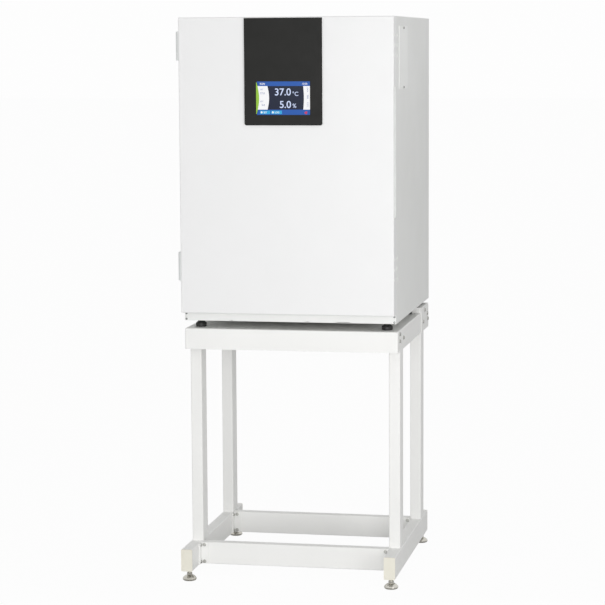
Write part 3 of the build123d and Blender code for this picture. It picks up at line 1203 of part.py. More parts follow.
# Control panel: a black moulded cover on the door's front, with a bevelled edge and the screen's window
PANEL_BEVEL = 1.6
PANEL_RIB = 4.0
PANEL_MID_Z = TOP_Z - PANEL_DROP - PANEL_H / 2
WINDOW_GAP = 0.4
with BuildPart() as control_panel:
    with BuildSketch(wall(-PANEL_T)) as panel_outline:
        with Locations((PANEL_X, PANEL_MID_Z)):
            Rectangle(PANEL_W, PANEL_H)
        fillet(panel_outline.vertices().group_by(Axis.Y)[0], PANEL_CORNER_R)
    extrude(amount=-PANEL_T)
    chamfer(control_panel.faces().sort_by(Axis.Y)[0].edges(), PANEL_BEVEL)
    with BuildSketch(wall(PANEL_WALL - PANEL_T)):
        with Locations((PANEL_X, PANEL_MID_Z)):
            Rectangle(PANEL_W - 2 * (PANEL_WALL + PANEL_RIB), PANEL_H - 2 * (PANEL_WALL + PANEL_RIB))
    extrude(amount=-(PANEL_T - PANEL_WALL), mode=Mode.SUBTRACT)
    with BuildSketch(wall(-PANEL_T)):
        with Locations((SCREEN_X, SCREEN_MID_Z)):
            Rectangle(SCREEN_W + 2 * WINDOW_GAP, SCREEN_H + 2 * WINDOW_GAP)
    extrude(amount=-PANEL_T, mode=Mode.SUBTRACT)
save(control_panel, "control_panel")

# Touch screen: the glass in the window, with its bonded rim behind the cover
SCREEN_RIM = 5.0
SCREEN_Y = -PANEL_T + SCREEN_RECESS
with BuildPart() as touch_screen:
    with BuildSketch(wall(SCREEN_Y)):
        with Locations((SCREEN_X, SCREEN_MID_Z)):
            Rectangle(SCREEN_W, SCREEN_H)
    extrude(amount=-SCREEN_T)
    with BuildSketch(wall(PANEL_WALL - PANEL_T)):
        with Locations((SCREEN_X, SCREEN_MID_Z)):
            Rectangle(SCREEN_W + 2 * SCREEN_RIM, SCREEN_H + 2 * SCREEN_RIM)
    extrude(amount=-(SCREEN_Y + SCREEN_T + PANEL_T - PANEL_WALL))
save(touch_screen, "touch_screen")

# Display board: the display module and the controller's printed board behind the touch screen
MODULE_T = 7.0
DISPLAY_BACK_Y = SCREEN_Y + SCREEN_T
CHIP_T = 3.0
CHIP_W = 22.0
CHIP_PITCH_X = 46.0
CHIP_PITCH_Z = 40.0
BOARD_SLACK = 1.0
with BuildPart() as display_board:
    with BuildSketch(wall(DISPLAY_BACK_Y)):
        with Locations((SCREEN_X, SCREEN_MID_Z)):
            Rectangle(SCREEN_W, SCREEN_H)
    extrude(amount=-MODULE_T)
    with BuildSketch(wall(DISPLAY_BACK_Y + MODULE_T)):
        with Locations((SCREEN_X, SCREEN_MID_Z)):
            Rectangle(CUTOUT_W - 2 * BOARD_SLACK, CUTOUT_H - 2 * BOARD_SLACK)
    extrude(amount=-BOARD_T)
    with BuildSketch(wall(DISPLAY_BACK_Y + MODULE_T + BOARD_T)):
        with Locations((SCREEN_X, SCREEN_MID_Z)):
            with GridLocations(CHIP_PITCH_X, CHIP_PITCH_Z, 3, 2):
                Rectangle(CHIP_W, CHIP_W)
    extrude(amount=-CHIP_T)
save(display_board, "display_board")

# Door hinges: for each hinge a leaf on the door's edge with the middle knuckle
DOOR_LEAF_NEAR = HINGE_Y - LEAF_SET_BACK
with BuildPart() as door_hinges:
    for hinge_z in HINGE_LEVELS:
        with BuildSketch(level(hinge_z)):
            patch(-HALF_W - LEAF_T, -HALF_W, DOOR_LEAF_NEAR - LEAF_W, DOOR_LEAF_NEAR)
        extrude(amount=HINGE_H)
        for low, high in stack(hinge_z, hinge_z + HINGE_H, MIDDLE_KNUCKLE_H, KNUCKLE_GAP, True):
            with BuildSketch(level(low)):
                patch(-HALF_W - LEAF_T, -HALF_W, DOOR_LEAF_NEAR, HINGE_Y - HINGE_IN_GAP)
                patch(HINGE_X, -HALF_W - LEAF_T, HINGE_Y - KNUCKLE_R, HINGE_Y - HINGE_IN_GAP)
                with Locations((HINGE_X, HINGE_Y)):
                    Circle(KNUCKLE_R)
                    Circle(HINGE_PIN_R + RUNNING_GAP, mode=Mode.SUBTRACT)
            extrude(amount=high - low)
save(door_hinges, "door_hinges")

# Inner gasket: a silicone ring on the liner's flange for the glass door
INNER_GASKET_BEVEL = 1.2
with BuildPart() as inner_gasket:
    with BuildSketch(wall(MOUTH_Y)):
        with Locations((0, CHAMBER_MID_Z)):
            RectangleRounded(CHAMBER_W + 2 * INNER_GASKET_W, CHAMBER_H + 2 * INNER_GASKET_W, CHAMBER_R)
            RectangleRounded(CHAMBER_W, CHAMBER_H, CHAMBER_R, mode=Mode.SUBTRACT)
    extrude(amount=INNER_GASKET_T)
    chamfer(inner_gasket.faces().sort_by(Axis.Y)[0].edges(), INNER_GASKET_BEVEL)
save(inner_gasket, "inner_gasket")

# Inner door brackets: two hinge brackets with their pins on the left, and the knob's keeper on the right
INNER_HINGE_INSET = 70.0
INNER_KNUCKLE_H = 16.0
INNER_BRACKET_T = 3.0
KEEPER_H = 30.0
KEEPER_T = 2.0
KEEPER_CLEAR = 2.0
KEEPER_FRONT_Y = FACE_Y + 2.0
CAM_T = 3.0
CAM_GAP = 0.8
GLASS_Z = CHAMBER_MID_Z - GLASS_H / 2
INNER_HINGE_LEVELS = (GLASS_Z + INNER_HINGE_INSET, GLASS_Z + GLASS_H - INNER_HINGE_INSET - INNER_KNUCKLE_H)
CAM_Y = GLASS_Y - CAM_GAP - CAM_T
KEEPER_Y = CAM_Y - SEAT_GAP - KEEPER_T
with BuildPart() as inner_door_brackets:
    for pin_z in INNER_HINGE_LEVELS:
        with BuildSketch(level(pin_z - INNER_BRACKET_T - KNUCKLE_GAP)):
            patch(-OPENING_HALF_W, INNER_PIVOT_X, INNER_PIVOT_Y - INNER_BOSS_R, INNER_PIVOT_Y + INNER_BOSS_R)
            with Locations((INNER_PIVOT_X, INNER_PIVOT_Y)):
                Circle(INNER_BOSS_R)
        extrude(amount=INNER_BRACKET_T)
        with BuildSketch(level(pin_z - INNER_BRACKET_T - KNUCKLE_GAP)):
            with Locations((INNER_PIVOT_X, INNER_PIVOT_Y)):
                Circle(INNER_PIN_R)
        extrude(amount=INNER_KNUCKLE_H + INNER_BRACKET_T)
        with BuildSketch(side(-OPENING_HALF_W)):
            patch(INNER_PIVOT_Y - INNER_BOSS_R, INNER_PIVOT_Y + INNER_BOSS_R,
                  pin_z - INNER_BRACKET_T - KNUCKLE_GAP - INNER_KNUCKLE_H, pin_z - KNUCKLE_GAP)
        extrude(amount=INNER_BRACKET_T / 2)
    with BuildSketch(side(OPENING_HALF_W)):
        patch(KEEPER_FRONT_Y, KEEPER_Y + KEEPER_T, CHAMBER_MID_Z - KEEPER_H / 2, CHAMBER_MID_Z + KEEPER_H / 2)
    extrude(amount=-KEEPER_T)
    with BuildSketch(side(OPENING_HALF_W)):
        patch(KEEPER_Y, KEEPER_Y + KEEPER_T, CHAMBER_MID_Z - KEEPER_H / 2, CHAMBER_MID_Z + KEEPER_H / 2)
    extrude(amount=-(OPENING_HALF_W - GLASS_HALF_W - KEEPER_CLEAR))
save(inner_door_brackets, "inner_door_brackets")

# Inner glass: a tempered pane that closes the chamber, drilled for the knob
GLASS_R = 10.0
KNOB_SHAFT_R = 5.0
with BuildPart() as inner_glass:
    with BuildSketch(wall(GLASS_Y)):
        with Locations((0, CHAMBER_MID_Z)):
            RectangleRounded(2 * GLASS_HALF_W, GLASS_H, GLASS_R)
        with Locations((KNOB_X, CHAMBER_MID_Z)):
            Circle(KNOB_SHAFT_R + RUNNING_GAP, mode=Mode.SUBTRACT)
    extrude(amount=-GLASS_T)
save(inner_glass, "inner_glass")

# Inner hinge clamps: stainless clamps on the pane's left edge, each with the knuckle for a pin
CLAMP_T = 1.5
CLAMP_W = 26.0
with BuildPart() as inner_hinge_clamps:
    for pin_z in INNER_HINGE_LEVELS:
        with BuildSketch(level(pin_z)):
            patch(-GLASS_HALF_W, CLAMP_W - GLASS_HALF_W, GLASS_Y - CLAMP_T, GLASS_Y)
            patch(INNER_PIVOT_X, -GLASS_HALF_W, GLASS_Y - CLAMP_T, INNER_PIVOT_Y + INNER_BOSS_R)
            with Locations((INNER_PIVOT_X, INNER_PIVOT_Y)):
                Circle(INNER_BOSS_R)
                Circle(INNER_PIN_R + RUNNING_GAP, mode=Mode.SUBTRACT)
        extrude(amount=INNER_KNUCKLE_H)
save(inner_hinge_clamps, "inner_hinge_clamps")

# Latch knob: a wing knob on the glass door, with the cam that turns behind the keeper
KNOB_R = 13.0
WING_L = 44.0
WING_W = 10.0
KNOB_BASE_T = 3.0
WING_T = 9.0
WING_DRAFT = 6.0
CAM_SIDE_GAP = 1.0
CAM_REACH = OPENING_HALF_W - KNOB_X - KEEPER_T - CAM_SIDE_GAP
CAM_W = 11.0
with BuildPart() as latch_knob:
    with BuildSketch(wall(CAM_Y)):
        with Locations((KNOB_X, CHAMBER_MID_Z)):
            SlotOverall(2 * CAM_REACH, CAM_W, rotation=90)
    extrude(amount=-CAM_T)
    with BuildSketch(wall(CAM_Y)):
        with Locations((KNOB_X, CHAMBER_MID_Z)):
            Circle(KNOB_R)
    extrude(amount=KNOB_BASE_T)
    with BuildSketch(wall(CAM_Y - KNOB_BASE_T)):
        with Locations((KNOB_X, CHAMBER_MID_Z)):
            SlotOverall(WING_L, WING_W, rotation=90)
    extrude(amount=WING_T, taper=WING_DRAFT)
    with BuildSketch(wall(CAM_Y)):
        with Locations((KNOB_X, CHAMBER_MID_Z)):
            Circle(KNOB_SHAFT_R)
    extrude(amount=-(GLASS_BACK_Y - CAM_Y))
save(latch_knob, "latch_knob")

# Side plate: a blank cover plate on the right side panel
PLATE_Y = 94.0
PLATE_D = 160.0
PLATE_DROP = 27.0
PLATE_H = 179.0
PLATE_Z = TOP_Z - PLATE_DROP - PLATE_H
PLATE_T = 1.2
with BuildPart() as side_plate:
    with BuildSketch(side(HALF_W)):
        patch(PLATE_Y, PLATE_Y + PLATE_D, PLATE_Z, PLATE_Z + PLATE_H)
    extrude(amount=PLATE_T)
save(side_plate, "side_plate")

# Cabinet screws: pan heads on the side plate, the plinth, the rear cover and the power inlet
SCREW_R = 3.5
SCREW_H = 1.6
PLATE_SCREW_INSET = 5.0
REAR_SCREW_INSET = 14.0
REAR_SCREW_ROWS = 4
with BuildPart() as cabinet_screws:
    with BuildSketch(side(HALF_W + PLATE_T)):
        with Locations((PLATE_Y + PLATE_D / 2, PLATE_Z + PLATE_H / 2)):
            with GridLocations(0, PLATE_H - 2 * PLATE_SCREW_INSET, 1, 2):
                Circle(SCREW_R)
    extrude(amount=SCREW_H)
    with BuildSketch(wall(REAR_Y)):
        with Locations((0, (REAR_COVER_Z + REAR_COVER_TOP) / 2)):
            with GridLocations(2 * (PAN_HALF_W - REAR_SCREW_INSET),
                               (REAR_COVER_TOP - REAR_COVER_Z - 2 * REAR_SCREW_INSET) / (REAR_SCREW_ROWS - 1),
                               2, REAR_SCREW_ROWS):
                Circle(SCREW_R)
    extrude(amount=-SCREW_H)
save(cabinet_screws, "cabinet_screws")

# Hinge plugs: caps in the unused hinge holes of the right side panel
PLUG_R = 5.0
PLUG_T = 1.2
PLUG_PITCH = 29.0
PLUG_SET_BACK = 18.0
with BuildPart() as hinge_plugs:
    with BuildSketch(side(HALF_W)):
        for hinge_z in HINGE_LEVELS:
            with Locations((FACE_Y + PLUG_SET_BACK, hinge_z + HINGE_H / 2)):
                with GridLocations(0, PLUG_PITCH, 1, 3):
                    Circle(PLUG_R)
    extrude(amount=PLUG_T)
save(hinge_plugs, "hinge_plugs")
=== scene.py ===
import json
import math

import bmesh
import bpy
from mathutils import Matrix, Vector


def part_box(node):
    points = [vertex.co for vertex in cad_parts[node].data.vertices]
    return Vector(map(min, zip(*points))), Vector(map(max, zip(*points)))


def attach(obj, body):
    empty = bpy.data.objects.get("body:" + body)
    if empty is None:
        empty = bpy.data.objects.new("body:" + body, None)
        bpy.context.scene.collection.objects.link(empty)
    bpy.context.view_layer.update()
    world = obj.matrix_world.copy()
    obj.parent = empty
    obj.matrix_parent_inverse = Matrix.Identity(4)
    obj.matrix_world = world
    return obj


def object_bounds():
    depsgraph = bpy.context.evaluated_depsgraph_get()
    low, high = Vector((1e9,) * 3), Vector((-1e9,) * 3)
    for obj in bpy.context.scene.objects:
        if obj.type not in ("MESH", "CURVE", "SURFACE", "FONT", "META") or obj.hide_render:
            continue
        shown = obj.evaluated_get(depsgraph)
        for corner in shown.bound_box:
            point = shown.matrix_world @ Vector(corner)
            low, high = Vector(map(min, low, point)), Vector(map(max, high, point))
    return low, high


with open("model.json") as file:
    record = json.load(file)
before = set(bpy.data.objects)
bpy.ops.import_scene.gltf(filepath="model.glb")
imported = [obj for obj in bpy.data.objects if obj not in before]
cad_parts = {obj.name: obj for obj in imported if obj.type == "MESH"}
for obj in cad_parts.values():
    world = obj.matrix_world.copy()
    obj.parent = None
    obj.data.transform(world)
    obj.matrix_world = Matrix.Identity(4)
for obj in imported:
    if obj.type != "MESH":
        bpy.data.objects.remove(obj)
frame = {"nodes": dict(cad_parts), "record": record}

cad_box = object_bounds()

# Stand frame: square steel tubes, a folded sheet top and a folded rear beam.
# All of it is painted with a white satin powder coat, which leaves a fine orange-peel skin.
# The tubes are welded, and the top is bolted over the legs.
STAND_WHITE = (251, 251, 249)
STAND_NODES = ("stand_top", "stand_rear_beam", "stand_legs", "base_side_rails", "base_cross_rails",
               "stand_brackets")


def linear(colour):
    """A colour given as 0 to 255 screen values, as the linear values that shaders take."""
    return tuple(((c / 255 + 0.055) / 1.055) ** 2.4 if c > 10 else c / 255 / 12.92 for c in colour)


def add_node(tree, kind, **settings):
    """A new shader node with its settings."""
    node = tree.nodes.new(kind)
    for key, value in settings.items():
        setattr(node, key, value)
    return node


def effect_group(name, inputs, outputs):
    """A shader node group for one surface effect: its tree, and its input and output nodes."""
    tree = bpy.data.node_groups.new(name, "ShaderNodeTree")
    for label, value in inputs.items():
        tree.interface.new_socket(label, in_out="INPUT", socket_type="NodeSocketFloat").default_value = value
    for label in outputs:
        tree.interface.new_socket(label, in_out="OUTPUT", socket_type="NodeSocketFloat")
    return tree, tree.nodes.new("NodeGroupInput"), tree.nodes.new("NodeGroupOutput")


def noise(tree, vector, scale, detail=2.0):
    """A noise texture's value over a vector; the scale is a number or another socket."""
    texture = add_node(tree, "ShaderNodeTexNoise")
    texture.inputs["Detail"].default_value = detail
    tree.links.new(vector, texture.inputs["Vector"])
    if isinstance(scale, (int, float)):
        texture.inputs["Scale"].default_value = scale
    else:
        tree.links.new(scale, texture.inputs["Scale"])
    return texture.outputs[0]


def calc(tree, operation, first, second=None, clamp=False):
    """A math node on sockets or plain numbers."""
    node = add_node(tree, "ShaderNodeMath", operation=operation, use_clamp=clamp)
    for socket, value in zip(node.inputs, (first, second)):
        if isinstance(value, (int, float)):
            socket.default_value = value
        elif value is not None:
            tree.links.new(value, socket)
    return node.outputs[0]


def spread(tree, value, low, high, to_low, to_high):
    """A value mapped from one range to another, with its ends held."""
    node = add_node(tree, "ShaderNodeMapRange")
    tree.links.new(value, node.inputs["Value"])
    for label, number in (("From Min", low), ("From Max", high), ("To Min", to_low), ("To Max", to_high)):
        if isinstance(number, (int, float)):
            node.inputs[label].default_value = number
        else:
            tree.links.new(number, node.inputs[label])
    return node.outputs["Result"]


# Powder coat effect: a fine peel, a faint cloudiness, and a grey film of dust on faces that look up.
# Scales are how many grains of each go to a metre.
COAT_CLOUD_SCALE = 5.0
COAT_SPECK_SCALE = 60.0
COAT_GLOSS_SCALE = 22.0
coat_tree, coat_in, coat_out = effect_group(
    "powder coat skin", {"Peel Scale": 900.0, "Cloud": 0.5, "Dust": 0.3}, ("Peel", "Tone", "Gloss"))
coat_place = add_node(coat_tree, "ShaderNodeTexCoord").outputs["Object"]
coat_facing = add_node(coat_tree, "ShaderNodeSeparateXYZ")
coat_tree.links.new(add_node(coat_tree, "ShaderNodeNewGeometry").outputs["Normal"], coat_facing.inputs[0])
coat_cloud = spread(coat_tree, noise(coat_tree, coat_place, COAT_CLOUD_SCALE, 4.0), 0.35, 0.7,
                    0.0, coat_in.outputs["Cloud"])
coat_dust = calc(coat_tree, "MULTIPLY", spread(coat_tree, coat_facing.outputs["Z"], 0.5, 1.0, 0.0, 1.0),
                 coat_in.outputs["Dust"])
coat_speck = spread(coat_tree, noise(coat_tree, coat_place, COAT_SPECK_SCALE, 6.0), 0.3, 0.7, 0.4, 1.0)
coat_dust = calc(coat_tree, "MULTIPLY", coat_dust, coat_speck)
coat_tree.links.new(noise(coat_tree, coat_place, coat_in.outputs["Peel Scale"], 2.0), coat_out.inputs["Peel"])
coat_tree.links.new(calc(coat_tree, "ADD", coat_cloud, coat_dust, clamp=True), coat_out.inputs["Tone"])
coat_tree.links.new(noise(coat_tree, coat_place, COAT_GLOSS_SCALE, 5.0), coat_out.inputs["Gloss"])


def finish(name, colour, worn, tree, values, height, roughness, relief, metallic=0.0, shine=0.5):
    """A material whose colour, roughness and bump all come from one effect group's outputs.

    Height names the output for the bump, relief is the bump's strength and its height in metres, and
    worn is the colour at full tone.
    """
    material = bpy.data.materials.new(name)
    material.use_nodes = True
    nodes = material.node_tree
    shader = nodes.nodes["Principled BSDF"]
    shader.inputs["Metallic"].default_value = metallic
    shader.inputs["Specular IOR Level"].default_value = shine
    group = add_node(nodes, "ShaderNodeGroup", node_tree=tree)
    for label, value in values.items():
        group.inputs[label].default_value = value
    blend = add_node(nodes, "ShaderNodeMix", data_type="RGBA")
    blend.inputs[6].default_value = (*linear(colour), 1)
    blend.inputs[7].default_value = (*linear(worn), 1)
    nodes.links.new(group.outputs["Tone"], blend.inputs[0])
    nodes.links.new(blend.outputs[2], shader.inputs["Base Color"])
    nodes.links.new(spread(nodes, group.outputs["Gloss"], 0.3, 0.7, *roughness), shader.inputs["Roughness"])
    bump = add_node(nodes, "ShaderNodeBump")
    bump.inputs["Strength"].default_value = relief[0]
    bump.inputs["Distance"].default_value = relief[1]
    nodes.links.new(group.outputs[height], bump.inputs["Height"])
    nodes.links.new(bump.outputs["Normal"], shader.inputs["Normal"])
    return material


def coated(name, colour, worn, peel=900.0, cloud=0.5, dust=0.3, roughness=(0.38, 0.5), relief=(0.25, 0.0001)):
    """Painted steel."""
    return finish(name, colour, worn, coat_tree, {"Peel Scale": peel, "Cloud": cloud, "Dust": dust},
                  "Peel", roughness, relief)


def dress(material, *nodes):
    """Gives CAD nodes their material."""
    for node in nodes:
        for slot in frame["nodes"][node].material_slots:
            slot.material = material


dress(coated("stand powder coat", STAND_WHITE, (236, 236, 233), cloud=0.2, dust=0.1), *STAND_NODES)

# Bolts of the stand: hexagon heads pressed from steel, zinc plated.
# They hold the folded top and the rear beam to the legs, and the angles to the base rails.
STEEL_STAIN_SCALE = 9.0
steel_tree, steel_in, steel_out = effect_group(
    "brushed metal", {"Along X": 40.0, "Along Y": 40.0, "Along Z": 40.0, "Stain": 0.3},
    ("Grain", "Tone", "Gloss"))
steel_place = add_node(steel_tree, "ShaderNodeTexCoord").outputs["Object"]
steel_stretch = add_node(steel_tree, "ShaderNodeCombineXYZ")
for axis in "XYZ":
    steel_tree.links.new(steel_in.outputs[f"Along {axis}"], steel_stretch.inputs[axis])
steel_grain = add_node(steel_tree, "ShaderNodeVectorMath", operation="MULTIPLY")
steel_tree.links.new(steel_place, steel_grain.inputs[0])
steel_tree.links.new(steel_stretch.outputs[0], steel_grain.inputs[1])
steel_lines = noise(steel_tree, steel_grain.outputs[0], 1.0, 4.0)
steel_stain = spread(steel_tree, noise(steel_tree, steel_place, STEEL_STAIN_SCALE, 5.0), 0.4, 0.75,
                     0.0, steel_in.outputs["Stain"])
steel_tree.links.new(steel_lines, steel_out.inputs["Grain"])
steel_shade = spread(steel_tree, steel_lines, 0.3, 0.7, 0.0, 0.25)
steel_tree.links.new(calc(steel_tree, "ADD", steel_stain, steel_shade, clamp=True), steel_out.inputs["Tone"])
steel_gloss = calc(steel_tree, "ADD", calc(steel_tree, "MULTIPLY", steel_lines, 0.6),
                   calc(steel_tree, "MULTIPLY", steel_stain, 0.8))
steel_tree.links.new(steel_gloss, steel_out.inputs["Gloss"])


def metal(name, colour, worn, grain=(60, 60, 60), stain=0.3, roughness=(0.2, 0.4),
          relief=(0.15, 0.00005)):
    """Bare or plated metal with a grain that runs along the axis of the smallest number."""
    values = {"Along X": grain[0], "Along Y": grain[1], "Along Z": grain[2], "Stain": stain}
    return finish(name, colour, worn, steel_tree, values, "Grain", roughness, relief, metallic=1.0)


zinc = metal("zinc plate", (206, 206, 202), (164, 164, 160), stain=0.6, roughness=(0.3, 0.5))
dress(zinc, "stand_bolts", "cabinet_screws")


def islands(node):
    """The box of each separate solid in a CAD node, as lowest and highest corners."""
    mesh = frame["nodes"][node].data
    spots = [tuple(round(c, 5) for c in vertex.co) for vertex in mesh.vertices]
    parent = {spot: spot for spot in spots}

    def top(spot):
        while parent[spot] != spot:
            parent[spot] = parent[parent[spot]]
            spot = parent[spot]
        return spot

    for polygon in mesh.polygons:
        first = top(spots[polygon.vertices[0]])
        for corner in polygon.vertices[1:]:
            parent[top(spots[corner])] = first
    groups = {}
    for spot in parent:
        groups.setdefault(top(spot), []).append(spot)
    return [(Vector([min(axis) for axis in zip(*group)]), Vector([max(axis) for axis in zip(*group)]))
            for group in groups.values()]


def turned(shape, origin, outward, profile, sides):
    """Adds a turned form to a shape: its profile is radius and height along the outward direction."""
    turn = outward.to_track_quat("Z", "Y").to_matrix()
    rings = []
    for radius, height in profile:
        corners = 1 if radius == 0 else sides
        angles = [2 * math.pi * k / corners for k in range(corners)]
        rings.append([shape.verts.new(origin + turn @ Vector((radius * math.cos(angle),
                                                              radius * math.sin(angle), height)))
                      for angle in angles])
    for lower, upper in zip(rings, rings[1:]):
        for k in range(sides):
            after = (k + 1) % sides
            if len(upper) == 1:
                shape.faces.new((lower[k], lower[after], upper[0]))
            elif len(lower) == 1:
                shape.faces.new((lower[0], upper[after], upper[k]))
            else:
                shape.faces.new((lower[k], lower[after], upper[after], upper[k]))


def piece(name, shape, material, body):
    """A finished mesh in the scene that rides on a CAD body."""
    mesh = bpy.data.meshes.new(name)
    bmesh.ops.recalc_face_normals(shape, faces=shape.faces)
    shape.to_mesh(mesh)
    shape.free()
    mesh.materials.append(material)
    thing = bpy.data.objects.new(name, mesh)
    bpy.context.scene.collection.objects.link(thing)
    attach(thing, body)


# Bolt washers and crowns: each head has a flat washer under it and a turned bevel on top.
# The outermost heads go without the bevel, because they already reach the object's full width.
WASHER_OVER = 0.0018
WASHER_T = 0.0009
WASHER_BEVEL = 0.8
CROWN_H = 0.0004
CROWN_FOOT = 0.97
CROWN_TOP = 0.82
WASHER_SIDES = 32
BOLT_SINK = 0.0001
OUTER_ROW = 0.02
rail_middles = [(low.y + high.y) / 2 for low, high in islands("base_cross_rails")]
washers = bmesh.new()
for low, high in islands("stand_bolts"):
    centre = (low + high) / 2
    width = sorted(high - low)[1] / 2
    if high.x - low.x < high.y - low.y:
        inside = abs(centre.x) < cad_box[1].x - OUTER_ROW
        outward = Vector((math.copysign(1, centre.x) * (-1 if inside else 1), 0, 0))
        thick = high.x - low.x
    else:
        rail = min(rail_middles, key=lambda place: abs(place - centre.y))
        outward = Vector((0, math.copysign(1, centre.y - rail), 0))
        thick = high.y - low.y
    turned(washers, centre - outward * (thick / 2 + BOLT_SINK), outward,
           ((width + WASHER_OVER, 0), (width + WASHER_OVER, WASHER_T * WASHER_BEVEL),
            (width + WASHER_OVER * WASHER_BEVEL, WASHER_T), (0, WASHER_T)), WASHER_SIDES)
    if abs(centre.x) + thick / 2 + CROWN_H < cad_box[1].x:
        turned(washers, centre + outward * (thick / 2 - BOLT_SINK), outward,
               ((width * CROWN_FOOT, 0), (width * CROWN_TOP, CROWN_H), (0, CROWN_H)), WASHER_SIDES)
piece("bolt_washers", washers, zinc, "cabinet")

# End caps of the base rails: cream polypropylene plugs, moulded, pushed into the tube ends.
# Their faces have a fine moulded grain and age to a slightly warm white.
MOULD_TONE_SCALE = 14.0
MOULD_GLOSS_SCALE = 35.0
mould_tree, mould_in, mould_out = effect_group(
    "moulded skin", {"Grain Scale": 1500.0, "Ageing": 0.5}, ("Grain", "Tone", "Gloss"))
mould_place = add_node(mould_tree, "ShaderNodeTexCoord").outputs["Object"]
mould_grain = noise(mould_tree, mould_place, mould_in.outputs["Grain Scale"], 3.0)
mould_tree.links.new(mould_grain, mould_out.inputs["Grain"])
mould_tone = spread(mould_tree, noise(mould_tree, mould_place, MOULD_TONE_SCALE, 4.0), 0.35, 0.7,
                    0.0, mould_in.outputs["Ageing"])
mould_tree.links.new(mould_tone, mould_out.inputs["Tone"])
mould_tree.links.new(noise(mould_tree, mould_place, MOULD_GLOSS_SCALE, 5.0), mould_out.inputs["Gloss"])


def moulded(name, colour, worn, grain=1500.0, ageing=0.5, roughness=(0.45, 0.6), relief=(0.3, 0.0001),
            shine=0.5):
    """Moulded plastic or rubber."""
    return finish(name, colour, worn, mould_tree, {"Grain Scale": grain, "Ageing": ageing},
                  "Grain", roughness, relief, shine=shine)


dress(moulded("cream plastic", (244, 241, 228), (228, 223, 205)), "rail_end_caps")

# Levelling feet of the stand: turned steel domes on threaded stems, nickel plated.
# A lock nut holds each one under its rail. The thread is rolled, so it stands a little proud of the stem.
THREAD_PITCH = 0.0015
THREAD_DEPTH = 0.0004
THREAD_SINK = 0.0003
THREAD_START = 0.2
THREAD_FLANK = 0.45
THREAD_STEPS = 28
STEM_R = 0.006
SPANNER_TOP = 0.023
NUT_BOTTOM = 0.0267
nickel = metal("nickel plate", (212, 210, 203), (166, 162, 150), grain=(30, 30, 300), stain=0.5,
               roughness=(0.1, 0.24))

for row in ("front", "rear"):
    for hand in ("left", "right"):
        foot = f"stand_foot_{row}_{hand}"
        dress(nickel, foot)
        low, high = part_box(foot)
        middle = (low + high) / 2
        thread = bmesh.new()
        turns = int((NUT_BOTTOM - SPANNER_TOP) / THREAD_PITCH)
        rings = []
        for step in range(turns * THREAD_STEPS + 1):
            angle = 2 * math.pi * step / THREAD_STEPS
            rise = SPANNER_TOP + THREAD_PITCH * (THREAD_START + step / THREAD_STEPS)
            taper = min(1, step / THREAD_STEPS, (turns * THREAD_STEPS - step) / THREAD_STEPS)
            root = STEM_R - THREAD_SINK
            rings.append([thread.verts.new((middle.x + radius * math.cos(angle),
                                            middle.y + radius * math.sin(angle), rise + THREAD_PITCH * lift))
                          for radius, lift in ((root, -THREAD_FLANK), (STEM_R + THREAD_DEPTH * taper, 0.0),
                                               (root, THREAD_FLANK))])
        for first, second in zip(rings, rings[1:]):
            for side in range(3):
                thread.faces.new((first[side], first[(side + 1) % 3], second[(side + 1) % 3], second[side]))
        thread.faces.new(rings[0])
        thread.faces.new(rings[-1])
        piece(f"thread_{row}_{hand}", thread, nickel, f"{foot}_body")

# Cabinet feet: black nylon discs moulded on steel studs, screwed into the base pan.
black_nylon = moulded("black nylon", (26, 26, 26), (44, 44, 43), ageing=0.6, roughness=(0.4, 0.6))
dress(black_nylon, *[f"cabinet_foot_{row}_{hand}" for row in ("front", "rear") for hand in ("left", "right")])

# Casing: zinc-coated steel sheets, folded and painted with the same white powder coat.
# The base pan's front edge is the plinth under the door. Screws hold the rear cover and the side plate.
casing_white = coated("casing powder coat", (245, 246, 244), (228, 229, 226), cloud=0.25)
dress(casing_white, "base_pan", "side_panel_left", "side_panel_right", "top_cover", "rear_cover",
      "front_frame")
dress(coated("side plate coat", (252, 253, 251), (243, 244, 241), roughness=(0.3, 0.42)), "side_plate")

# Casing screws: domed heads with a cross recess, on the side plate and round the rear cover.
# The side plate's are black. Two small ones hold each side panel's front fold to the plinth.
HEAD_R = 0.0037
HEAD_RISE = 0.0009
HEAD_SINK = 0.0002
RECESS_HALF_W = 0.0006
RECESS_REACH = 0.0022
FOLD_INSET = 0.0052
FOLD_SCREW_LIFTS = (0.0045, 0.0205)
FOLD_HEAD_R = 0.0032
FOLD_HEAD_RISE = 0.0007


def cross_head(shape, face, outward, radius=HEAD_R, rise=HEAD_RISE):
    """Adds a domed screw head with a cross recess, standing on a face.

    Its loops run from the recess's floor over its rim and the dome to the foot under the face.
    """
    turn = outward.to_track_quat("Z", "Y").to_matrix()
    arm = math.atan2(RECESS_HALF_W, RECESS_REACH)
    middle = (arm + math.pi / 4) / 2
    loops = [[], [], [], [], []]
    for quarter in range(4):
        for part in (-math.pi / 4, -middle, -arm, 0.0, arm, middle):
            reach = (RECESS_REACH / math.cos(part) if abs(part) <= arm + 1e-6
                     else RECESS_HALF_W / math.sin(abs(part)))
            angle = quarter * math.pi / 2 + part
            across = Vector((math.cos(angle), math.sin(angle), 0))
            for loop, (distance, height) in zip(loops, (
                    (reach * 0.8, rise * 0.15), (reach, rise * 0.9), (radius * 0.72, rise * 0.82),
                    (radius * 0.93, rise * 0.45), (radius, -HEAD_SINK))):
                loop.append(shape.verts.new(face + turn @ (across * distance + Vector((0, 0, height)))))
    shape.faces.new(loops[0])
    for inner, outer in zip(loops, loops[1:]):
        for k in range(len(inner)):
            after = (k + 1) % len(inner)
            shape.faces.new((inner[k], outer[k], outer[after], inner[after]))


